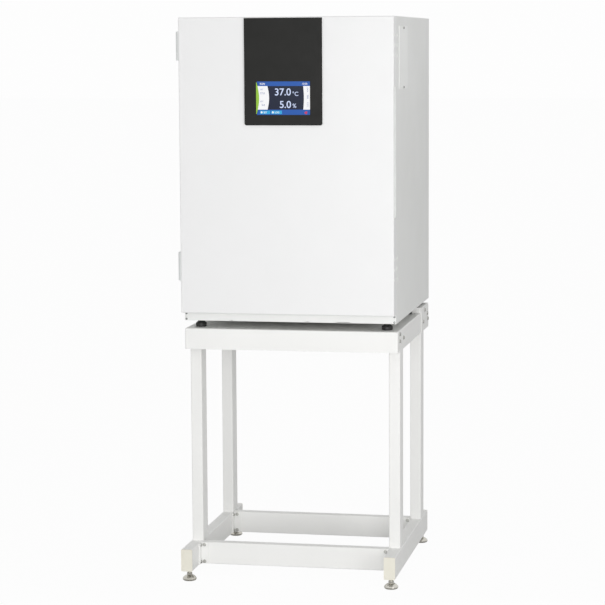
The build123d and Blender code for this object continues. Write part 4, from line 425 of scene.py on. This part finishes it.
rear_heads = bmesh.new()
plate_heads = bmesh.new()
fold_heads = bmesh.new()
for low, high in islands("cabinet_screws"):
    centre = (low + high) / 2
    if high.x - low.x < high.y - low.y:
        cross_head(plate_heads, Vector((high.x, centre.y, centre.z)), Vector((1, 0, 0)))
    else:
        cross_head(rear_heads, Vector((centre.x, high.y, centre.z)), Vector((0, 1, 0)))
panel_low, panel_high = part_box("side_panel_right")
for across in (panel_high.x - FOLD_INSET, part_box("side_panel_left")[0].x + FOLD_INSET):
    for lift in FOLD_SCREW_LIFTS:
        cross_head(fold_heads, Vector((across, panel_low.y, panel_low.z + lift)), Vector((0, -1, 0)),
                   radius=FOLD_HEAD_R, rise=FOLD_HEAD_RISE)
piece("rear_screw_heads", rear_heads, zinc, "cabinet")
black_steel = metal("black screw steel", (74, 76, 75), (54, 55, 55), roughness=(0.35, 0.5))
piece("black_screw_heads", plate_heads, black_steel, "cabinet")
grey_steel = metal("fold screw steel", (150, 153, 151), (120, 122, 121), roughness=(0.35, 0.5))
piece("fold_screw_heads", fold_heads, grey_steel, "cabinet")

# Outer door: a deep-folded steel pan, painted smooth white, on two lift-off hinges painted to match.
# Its free edge holds a moulded grip. The inner panel and the soft magnetic gasket close its back.
dress(coated("door powder coat", (246, 246, 246), (233, 234, 233), peel=700.0, cloud=0.12, dust=0.2,
             roughness=(0.32, 0.42)), "door_shell")
dress(coated("door inner coat", (243, 243, 241), (230, 230, 227)), "door_inner_panel")
dress(moulded("grip plastic", (240, 241, 240), (226, 227, 225), roughness=(0.3, 0.45)), "door_grip")
dress(moulded("grey vinyl", (206, 206, 203), (188, 188, 184), roughness=(0.5, 0.7)), "door_gasket")
dress(coated("hinge coat", (240, 243, 242), (222, 224, 222), peel=700.0), "cabinet_hinges", "door_hinges")

# Plugs: white polyethylene caps in the hinge holes that this hand of door leaves unused.
# The cabinet's six are CAD solids, and these six sit in the door's free edge at the same heights.
PLUG_R = 0.0045
PLUG_SET_BACK = 0.0114
PLUG_T = 0.0011
PLUG_SINK = 0.0005
PLUG_TOP = 0.8
PLUG_SIDES = 24
plug_white = moulded("white polyethylene", (250, 251, 248), (236, 237, 232), roughness=(0.3, 0.45))
dress(plug_white, "hinge_plugs")
door_low, door_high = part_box("door_shell")
plugs = bmesh.new()
plug_profile = ((PLUG_R, -PLUG_SINK), (PLUG_R, PLUG_T / 2), (PLUG_R * PLUG_TOP, PLUG_T), (0, PLUG_T))
for low, high in islands("hinge_plugs"):
    centre = Vector((door_high.x, door_low.y + PLUG_SET_BACK, (low.z + high.z) / 2))
    turned(plugs, centre, Vector((1, 0, 0)), plug_profile, PLUG_SIDES)
piece("door_edge_plugs", plugs, plug_white, "door")

# Control panel: a black moulded cover, satin, with a fine grain, clipped over the door's front.
dress(moulded("satin black plastic", (24, 24, 22), (31, 31, 29), grain=2500.0, ageing=0.3,
              roughness=(0.36, 0.46), relief=(0.2, 0.00005), shine=0.2), "control_panel")

# Touch screen: a lit glass front. Its picture is built up from thin sheets just in front of the glass.
# The picture has bars above and below, a pale page on the left, a dark field with the two readings,
# and a pale strip of keys on the right.
GLASS_RIM = 0.005
PIXEL_PITCH = 4000.0
PIXEL_DIP = 0.08
LIGHT_FALL_SCALE = 12.0
LAYER = 0.00008
SHEET_T = 0.8
screen_low, screen_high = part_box("touch_screen")
picture_left = screen_low.x + GLASS_RIM
picture_top = screen_high.z - GLASS_RIM
picture_w = screen_high.x - screen_low.x - 2 * GLASS_RIM
picture_h = screen_high.z - screen_low.z - 2 * GLASS_RIM
lit_tree, lit_in, lit_out = effect_group("lit pixels", {"Pitch": PIXEL_PITCH, "Fall": 0.2}, ("Light",))
lit_place = add_node(lit_tree, "ShaderNodeTexCoord").outputs["Object"]
lit_cells = noise(lit_tree, lit_place, lit_in.outputs["Pitch"], 1.0)
lit_cloud = spread(lit_tree, noise(lit_tree, lit_place, LIGHT_FALL_SCALE), 0.3, 0.7, 0.0,
                   lit_in.outputs["Fall"])
lit_dip = calc(lit_tree, "MULTIPLY", lit_cells, PIXEL_DIP)
lit_tree.links.new(calc(lit_tree, "ADD", lit_cloud, lit_dip, clamp=True), lit_out.inputs["Light"])


def lit(name, colour, dimmer, strength=0.55, fall=0.2):
    """A part of the lit picture behind glossy glass."""
    material = bpy.data.materials.new(name)
    material.use_nodes = True
    nodes = material.node_tree
    shader = nodes.nodes["Principled BSDF"]
    shader.inputs["Roughness"].default_value = 0.12
    shader.inputs["Emission Strength"].default_value = strength
    group = add_node(nodes, "ShaderNodeGroup", node_tree=lit_tree)
    group.inputs["Fall"].default_value = fall
    for target, share in (("Base Color", 0.35), ("Emission Color", 1.0)):
        blend = add_node(nodes, "ShaderNodeMix", data_type="RGBA")
        blend.inputs[6].default_value = (*[c * share for c in linear(colour)], 1)
        blend.inputs[7].default_value = (*[c * share for c in linear(dimmer)], 1)
        nodes.links.new(group.outputs["Light"], blend.inputs[0])
        nodes.links.new(blend.outputs[2], shader.inputs[target])
    return material


def on_picture(across, down, layer):
    """A point on the picture, from shares of its width and height, some layers in front of the glass."""
    return Vector((picture_left + across * picture_w, screen_low.y - LAYER * layer,
                   picture_top - down * picture_h))


def sheet_on_picture(name, outline, layer, material):
    """A thin sheet on the picture with the given outline."""
    shape = bmesh.new()
    front = [shape.verts.new(on_picture(across, down, layer)) for across, down in outline]
    back = [shape.verts.new(on_picture(across, down, layer - SHEET_T)) for across, down in outline]
    shape.faces.new(front)
    shape.faces.new(back[::-1])
    for k in range(len(outline)):
        after = (k + 1) % len(outline)
        shape.faces.new((front[k], front[after], back[after], back[k]))
    piece(name, shape, material, "door")


def bowed(across, bow, top, bottom, steps=14):
    """Points down a side of a page that bulges to the right in its middle."""
    return [(across + bow * math.sin(math.pi * k / steps), top + (bottom - top) * k / steps)
            for k in range(steps + 1)]


def block(left, top, right, bottom):
    """A rectangle's corners on the picture."""
    return [(left, top), (right, top), (right, bottom), (left, bottom)]


TOP_BAR_END = 0.137
BOTTOM_BAR_START = 0.842
BAR_SLANT = (0.012, 0.035)
PAGE_LEFT = 0.02
PAGE_RIGHT = 0.212
PAGE_BOW = 0.03
KEYS_LEFT = 0.876
KEYS_BOW = 0.012
BUTTONS = ((0.071, 0.261), (0.28, 0.478))
BUTTON_TOP = 0.872
BUTTON_END = 0.975
MARK_INSET = 0.03
MARK_HALF_W = 0.018
MARK_HALF_H = 0.03
MARK_DOWN = 0.924
MARK_SIDES = 12
dress(moulded("dark glass", (20, 24, 30), (26, 30, 38), ageing=0.2, roughness=(0.08, 0.14),
              relief=(0.02, 0.00002)), "touch_screen")
field_blue = lit("dark field", (10, 14, 58), (14, 30, 50), fall=1.0)
bar_blue = lit("bar blue", (33, 92, 180), (40, 100, 190))
key_blue = lit("key blue", (50, 175, 232), (60, 185, 238))
page_white = lit("page white", (252, 252, 253), (244, 246, 252), strength=0.62)
leaf_green = lit("leaf green", (160, 208, 66), (132, 188, 52))
digit_white = lit("digit white", (196, 208, 236), (186, 196, 232), strength=0.85)
mark_grey = lit("mark grey", (150, 160, 196), (160, 170, 205))
alarm_red = lit("alarm red", (214, 62, 104), (200, 54, 92))
sheet_on_picture("picture_field", block(0.0, 0.0, 1.0, 1.0), 1, field_blue)
sheet_on_picture("picture_bar_top", [(BAR_SLANT[0], 0.0), (1.0, 0.0), (1.0, TOP_BAR_END),
                                     (BAR_SLANT[1], TOP_BAR_END)], 2, bar_blue)
sheet_on_picture("picture_bar_bottom", [(BAR_SLANT[1], BOTTOM_BAR_START), (1.0, BOTTOM_BAR_START),
                                        (1.0, 1.0), (BAR_SLANT[0], 1.0)], 2, bar_blue)
sheet_on_picture("picture_page", [(PAGE_LEFT, TOP_BAR_END)]
                 + bowed(PAGE_RIGHT, PAGE_BOW, TOP_BAR_END, BOTTOM_BAR_START)
                 + [(PAGE_LEFT, BOTTOM_BAR_START)], 2, page_white)
sheet_on_picture("picture_leaf", [(0.0, 0.02)] + bowed(0.012, 0.045, 0.04, 0.96) + [(0.0, 0.98)], 3,
                 leaf_green)
sheet_on_picture("picture_keys", [(1.0, TOP_BAR_END), (1.0, BOTTOM_BAR_START)]
                 + bowed(KEYS_LEFT, KEYS_BOW, BOTTOM_BAR_START, TOP_BAR_END), 2, page_white)
mark_angles = [2 * math.pi * k / MARK_SIDES for k in range(MARK_SIDES)]
for number, (left, right) in enumerate(BUTTONS):
    sheet_on_picture(f"picture_button_{number}", block(left, BUTTON_TOP, right, BUTTON_END), 3, key_blue)
    sheet_on_picture(f"picture_button_mark_{number}",
                     [(left + MARK_INSET + MARK_HALF_W * math.cos(angle),
                       MARK_DOWN + MARK_HALF_H * math.sin(angle)) for angle in mark_angles], 4, page_white)
sheet_on_picture("picture_alarm", [(0.893, 0.93), (0.93, 0.89), (0.95, 0.9), (0.944, 0.975), (0.915, 0.975)],
                 3, alarm_red)

CAP_SHARE = 0.72
WORDS_LAYER = 4
KEY_LETTERS = "ABC"
KEY_NAMES_ACROSS = 0.945
KEY_NAMES_DOWN = (0.18, 0.4, 0.62)


def words_on_picture(name, words, height, across, down, weight, material, turn=0.0):
    """Raised characters on the picture: across and down give the left end of their base line.

    Height is the capitals' share of the picture's height, and weight thickens the strokes.
    """
    text = bpy.data.curves.new(name, "FONT")
    text.body = words
    text.size = height * picture_h / CAP_SHARE
    text.offset = weight
    text.extrude = LAYER * SHEET_T / 2
    text.materials.append(material)
    thing = bpy.data.objects.new(name, text)
    bpy.context.scene.collection.objects.link(thing)
    thing.matrix_world = (Matrix.Translation(on_picture(across, down, WORDS_LAYER))
                          @ Matrix.Rotation(turn, 4, "Y")
                          @ Matrix.Rotation(math.pi / 2, 4, "X"))
    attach(thing, "door")


for name, words, height, across, down, weight, colour in (
        ("reading_heat", "37.0", 0.215, 0.34, 0.415, 0.00025, digit_white),
        ("reading_heat_unit", "°C", 0.125, 0.672, 0.43, 0.00012, digit_white),
        ("reading_gas", "5.0", 0.215, 0.432, 0.79, 0.00025, digit_white),
        ("reading_gas_unit", "%", 0.125, 0.676, 0.785, 0.00012, digit_white),
        ("set_heat", "37.0", 0.06, 0.075, 0.38, 0.0001, mark_grey),
        ("set_gas", "5.0", 0.06, 0.1, 0.73, 0.0001, mark_grey),
        ("set_heat_name", "SET", 0.045, 0.075, 0.26, 0.00005, mark_grey),
        ("set_gas_name", "SET", 0.045, 0.075, 0.62, 0.00005, mark_grey),
        ("bar_clock", "12:00", 0.055, 0.85, 0.097, 0.00008, page_white),
        ("bar_state", "RUN", 0.055, 0.07, 0.097, 0.00012, page_white),
        ("button_one", "SET", 0.05, 0.135, 0.95, 0.0001, page_white),
        ("button_two", "LOG", 0.05, 0.345, 0.95, 0.0001, page_white)):
    words_on_picture(name, words, height, across, down, weight, colour)
for number, (letter, down) in enumerate(zip(KEY_LETTERS, KEY_NAMES_DOWN)):
    words_on_picture(f"key_name_{number}", letter * 3, 0.05, KEY_NAMES_ACROSS, down, 0.00004, mark_grey,
                     turn=math.pi / 2)

# Inner door: a tempered glass pane in two stainless clamps, closed by a wing knob.
# Its brackets and its knob's keeper are folded stainless, riveted to the chamber's mouth.
clear_glass = bpy.data.materials.new("clear glass")
clear_glass.use_nodes = True
glass_shader = clear_glass.node_tree.nodes["Principled BSDF"]
glass_shader.inputs["Base Color"].default_value = (*linear((236, 247, 243)), 1)
glass_shader.inputs["Transmission Weight"].default_value = 1.0
glass_shader.inputs["IOR"].default_value = 1.45
glass_place = add_node(clear_glass.node_tree, "ShaderNodeTexCoord").outputs["Object"]
glass_smears = noise(clear_glass.node_tree, glass_place, 16.0, 4.0)
clear_glass.node_tree.links.new(spread(clear_glass.node_tree, glass_smears, 0.45, 0.75, 0.01, 0.05),
                                glass_shader.inputs["Roughness"])
dress(clear_glass, "inner_glass")
fittings = metal("satin stainless", (206, 206, 203), (180, 180, 176), grain=(90, 90, 15))
dress(fittings, "inner_door_brackets", "inner_hinge_clamps", "access_port", "chamber_sensors")
dress(black_nylon, "latch_knob")
dress(moulded("clear silicone", (214, 217, 216), (196, 199, 198), roughness=(0.35, 0.5)),
      "inner_gasket", "port_stopper")

# Chamber: a stainless liner pressed with round corners, and inside it shelves, posts, duct and pan.
# The sheet has a fine brushed grain; the shelves are perforated and polished.
dress(metal("brushed liner", (212, 213, 212), (190, 191, 189), grain=(6, 6, 700), stain=0.2,
            roughness=(0.26, 0.38)), "chamber_liner", "air_duct", "water_pan")
shelf_steel = metal("polished shelf steel", (220, 220, 218), (196, 196, 193), grain=(8, 500, 500), stain=0.15,
                    roughness=(0.16, 0.28))
dress(shelf_steel, "shelf_lower", "shelf_middle", "shelf_upper", "shelf_posts", "shelf_runners")
dress(metal("cast aluminium", (205, 206, 207), (180, 181, 182), roughness=(0.35, 0.5)), "fan_wheel")
dress(coated("motor enamel", (52, 52, 54), (66, 66, 68)), "fan_motor")

# Hidden layers: mineral wool boards, silicone heating mats, the door's foam and the printed boards.
# They show only where a panel is off, and have plain finishes of their own.
dress(moulded("mineral wool", (214, 205, 172), (190, 178, 140), grain=400.0, ageing=0.9,
              roughness=(0.8, 0.95), relief=(0.8, 0.0006)), "insulation", "door_foam")
dress(moulded("red silicone", (176, 92, 70), (160, 80, 60)), "heater_mats")
dress(moulded("board green", (32, 92, 58), (26, 76, 48), ageing=0.6), "main_board", "display_board")

# Rear fittings: the gas nipple of turned brass, and the moulded power inlet with its rocker.
# The nipple's end has barbs to hold a hose, and the rocker is marked with a bar and a ring.
brass = metal("turned brass", (214, 180, 104), (176, 140, 76), grain=(300, 20, 300), stain=0.4)
dress(brass, "gas_inlet", "gas_feed")
dress(black_nylon, "power_inlet")
dress(moulded("gloss black plastic", (20, 20, 20), (34, 34, 34), ageing=0.3, roughness=(0.16, 0.26)),
      "power_rocker")
NIPPLE_R = 0.004
BARB_COUNT = 3
BARB_PITCH = 0.0045
BARB_SETBACK = 0.002
BARB_RISE = 0.0007
BARB_EDGE = 0.0001
BARB_LENGTH = 0.0034
BARB_FOOT_R = NIPPLE_R - 0.0004
BARB_TIP_R = NIPPLE_R - 0.0002
BARB_SIDES = 32
nipple_low, nipple_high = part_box("gas_inlet")
nipple_middle = (nipple_low + nipple_high) / 2
barbs = bmesh.new()
for number in range(BARB_COUNT):
    start = Vector((nipple_middle.x, nipple_high.y - BARB_SETBACK - BARB_PITCH * (number + 1),
                    nipple_middle.z))
    turned(barbs, start, Vector((0, 1, 0)),
           ((BARB_FOOT_R, 0), (NIPPLE_R + BARB_RISE, BARB_EDGE), (BARB_TIP_R, BARB_LENGTH),
            (BARB_FOOT_R, BARB_LENGTH)), BARB_SIDES)
piece("nipple_barbs", barbs, brass, "cabinet")

# Rocker marks: a raised bar for on and a raised ring for off, moulded in white on the dished face.
# Both are closed loops, given by half widths and half heights of their outer and inner edges.
ROCKER_TILT = math.radians(8)
DISH_R = 0.03125
DISH_CENTRE = 0.03525
MARK_OUT = 0.0062
MARK_RISE = 0.0002
MARK_STEPS = 32
RING_EDGES = ((0.0019, 0.0019), (0.0014, 0.0014))
BAR_EDGES = ((0.0006, 0.0021), (0.0001, 0.0016))
pivot = Vector(next(joint["pos_m"] for joint in frame["record"]["behaviour"]["joints"]
                    if joint["name"] == "rocker_tip"))


def on_rocker(across, along, rise):
    """A point over the rocker's dished face, from its middle."""
    out = DISH_CENTRE - math.sqrt(DISH_R ** 2 - along ** 2) + rise
    return pivot + Vector((across, out * math.cos(ROCKER_TILT) - along * math.sin(ROCKER_TILT),
                           out * math.sin(ROCKER_TILT) + along * math.cos(ROCKER_TILT)))


marks = bmesh.new()
for place, (outer, inner) in ((MARK_OUT, RING_EDGES), (-MARK_OUT, BAR_EDGES)):
    loops = []
    for reach, rise in ((outer, -MARK_RISE), (outer, MARK_RISE), (inner, MARK_RISE), (inner, -MARK_RISE)):
        loops.append([])
        for step in range(MARK_STEPS):
            angle = 2 * math.pi * step / MARK_STEPS
            loops[-1].append(marks.verts.new(on_rocker(reach[0] * math.cos(angle),
                                                       place + reach[1] * math.sin(angle), rise)))
    for first, second in zip(loops, loops[1:]):
        for k in range(MARK_STEPS):
            after = (k + 1) % MARK_STEPS
            marks.faces.new((first[k], first[after], second[after], second[k]))
piece("rocker_marks", marks, moulded("mark white", (232, 232, 230), (216, 216, 212), roughness=(0.35, 0.5)),
      "rocker")

# Studio: a white floor that keeps the shadow, an even white surround, a large soft lamp in front
# and a weak one from the right.
FLOOR_REACH = 60
FLOOR_DROP = 0.0004
FLOOR_TONE = 0.86
FLOOR_SHOWN_WHITE = 0.96
SURROUND_SHOWN = 0.985
SURROUND = 0.5
floor_shape = bmesh.new()
bmesh.ops.create_grid(floor_shape, x_segments=2, y_segments=2, size=FLOOR_REACH)
floor_mesh = bpy.data.meshes.new("floor")
floor_shape.to_mesh(floor_mesh)
floor_shape.free()
floor = bpy.data.objects.new("floor", floor_mesh)
floor.location.z = -FLOOR_DROP
bpy.context.scene.collection.objects.link(floor)
floor_white = bpy.data.materials.new("floor white")
floor_white.use_nodes = True
floor_nodes = floor_white.node_tree
floor_nodes.nodes.remove(floor_nodes.nodes["Principled BSDF"])
floor_diffuse = add_node(floor_nodes, "ShaderNodeBsdfDiffuse")
floor_diffuse.inputs["Color"].default_value = (FLOOR_TONE, FLOOR_TONE, FLOOR_TONE, 1)
floor_glow = add_node(floor_nodes, "ShaderNodeEmission")
floor_glow.inputs["Color"].default_value = (1, 1, 1, 1)
floor_glow.inputs["Strength"].default_value = 1.0
floor_blend = add_node(floor_nodes, "ShaderNodeMixShader")
floor_rays = add_node(floor_nodes, "ShaderNodeLightPath")
floor_share = calc(floor_nodes, "MULTIPLY", floor_rays.outputs["Is Camera Ray"], FLOOR_SHOWN_WHITE)
floor_nodes.links.new(floor_share, floor_blend.inputs[0])
floor_nodes.links.new(floor_diffuse.outputs[0], floor_blend.inputs[1])
floor_nodes.links.new(floor_glow.outputs[0], floor_blend.inputs[2])
floor_nodes.links.new(floor_blend.outputs[0], floor_nodes.nodes["Material Output"].inputs["Surface"])
floor_mesh.materials.append(floor_white)

world = bpy.data.worlds.new("studio")
bpy.context.scene.world = world
world.use_nodes = True
sky = world.node_tree
sky_rays = add_node(sky, "ShaderNodeLightPath")
sky_mirrored = calc(sky, "MAXIMUM", sky_rays.outputs["Is Glossy Ray"],
                    sky_rays.outputs["Is Transmission Ray"])
sky_seen = calc(sky, "MAXIMUM", sky_rays.outputs["Is Camera Ray"], sky_mirrored)
sky_strength = spread(sky, sky_seen, 0.0, 1.0, SURROUND, SURROUND_SHOWN)
sky.links.new(sky_strength, sky.nodes["Background"].inputs["Strength"])
sky.nodes["Background"].inputs["Color"].default_value = (1, 1, 1, 1)


def lamp(name, place, aim, width, height, power):
    """A soft lamp box aimed at a point."""
    data = bpy.data.lights.new(name, "AREA")
    data.shape = "RECTANGLE"
    data.size = width
    data.size_y = height
    data.energy = power
    thing = bpy.data.objects.new(name, data)
    thing.matrix_world = (Matrix.Translation(place)
                          @ (Vector(aim) - Vector(place)).to_track_quat("-Z", "Y").to_matrix().to_4x4())
    bpy.context.scene.collection.objects.link(thing)


lamp("front lamp", (0.8, -7.2, 1.2), (0, 0, 0.8), 3.2, 2.4, 140)
lamp("side lamp", (2.4, -2.6, 1.1), (0.3, 0, 0.9), 1.2, 2.0, 19)

# Camera: fitted to the photograph with the cabinet's width of 620 mm
CAMERA_PLACE = (1.2575, -6.4425, 1.548)
CAMERA_LENS = 130.4
SENSOR_WIDTH = 36
YAW, PITCH, ROLL = (math.radians(angle) for angle in (-11.23, -6.64, -0.326))
ahead = Vector((math.sin(YAW) * math.cos(PITCH), math.cos(YAW) * math.cos(PITCH), math.sin(PITCH)))
level_right = Vector((math.cos(YAW), -math.sin(YAW), 0))
level_up = level_right.cross(ahead)
right = level_right * math.cos(ROLL) + level_up * math.sin(ROLL)
up = level_up * math.cos(ROLL) - level_right * math.sin(ROLL)
camera_data = bpy.data.cameras.new("camera")
camera_data.lens = CAMERA_LENS
camera_data.sensor_width = SENSOR_WIDTH
camera = bpy.data.objects.new("camera", camera_data)
camera.matrix_world = (Matrix.Translation(CAMERA_PLACE)
                       @ Matrix((right, up, -ahead)).transposed().to_4x4())
bpy.context.scene.collection.objects.link(camera)
bpy.context.scene.camera = camera
bpy.context.scene.view_settings.view_transform = "Standard"
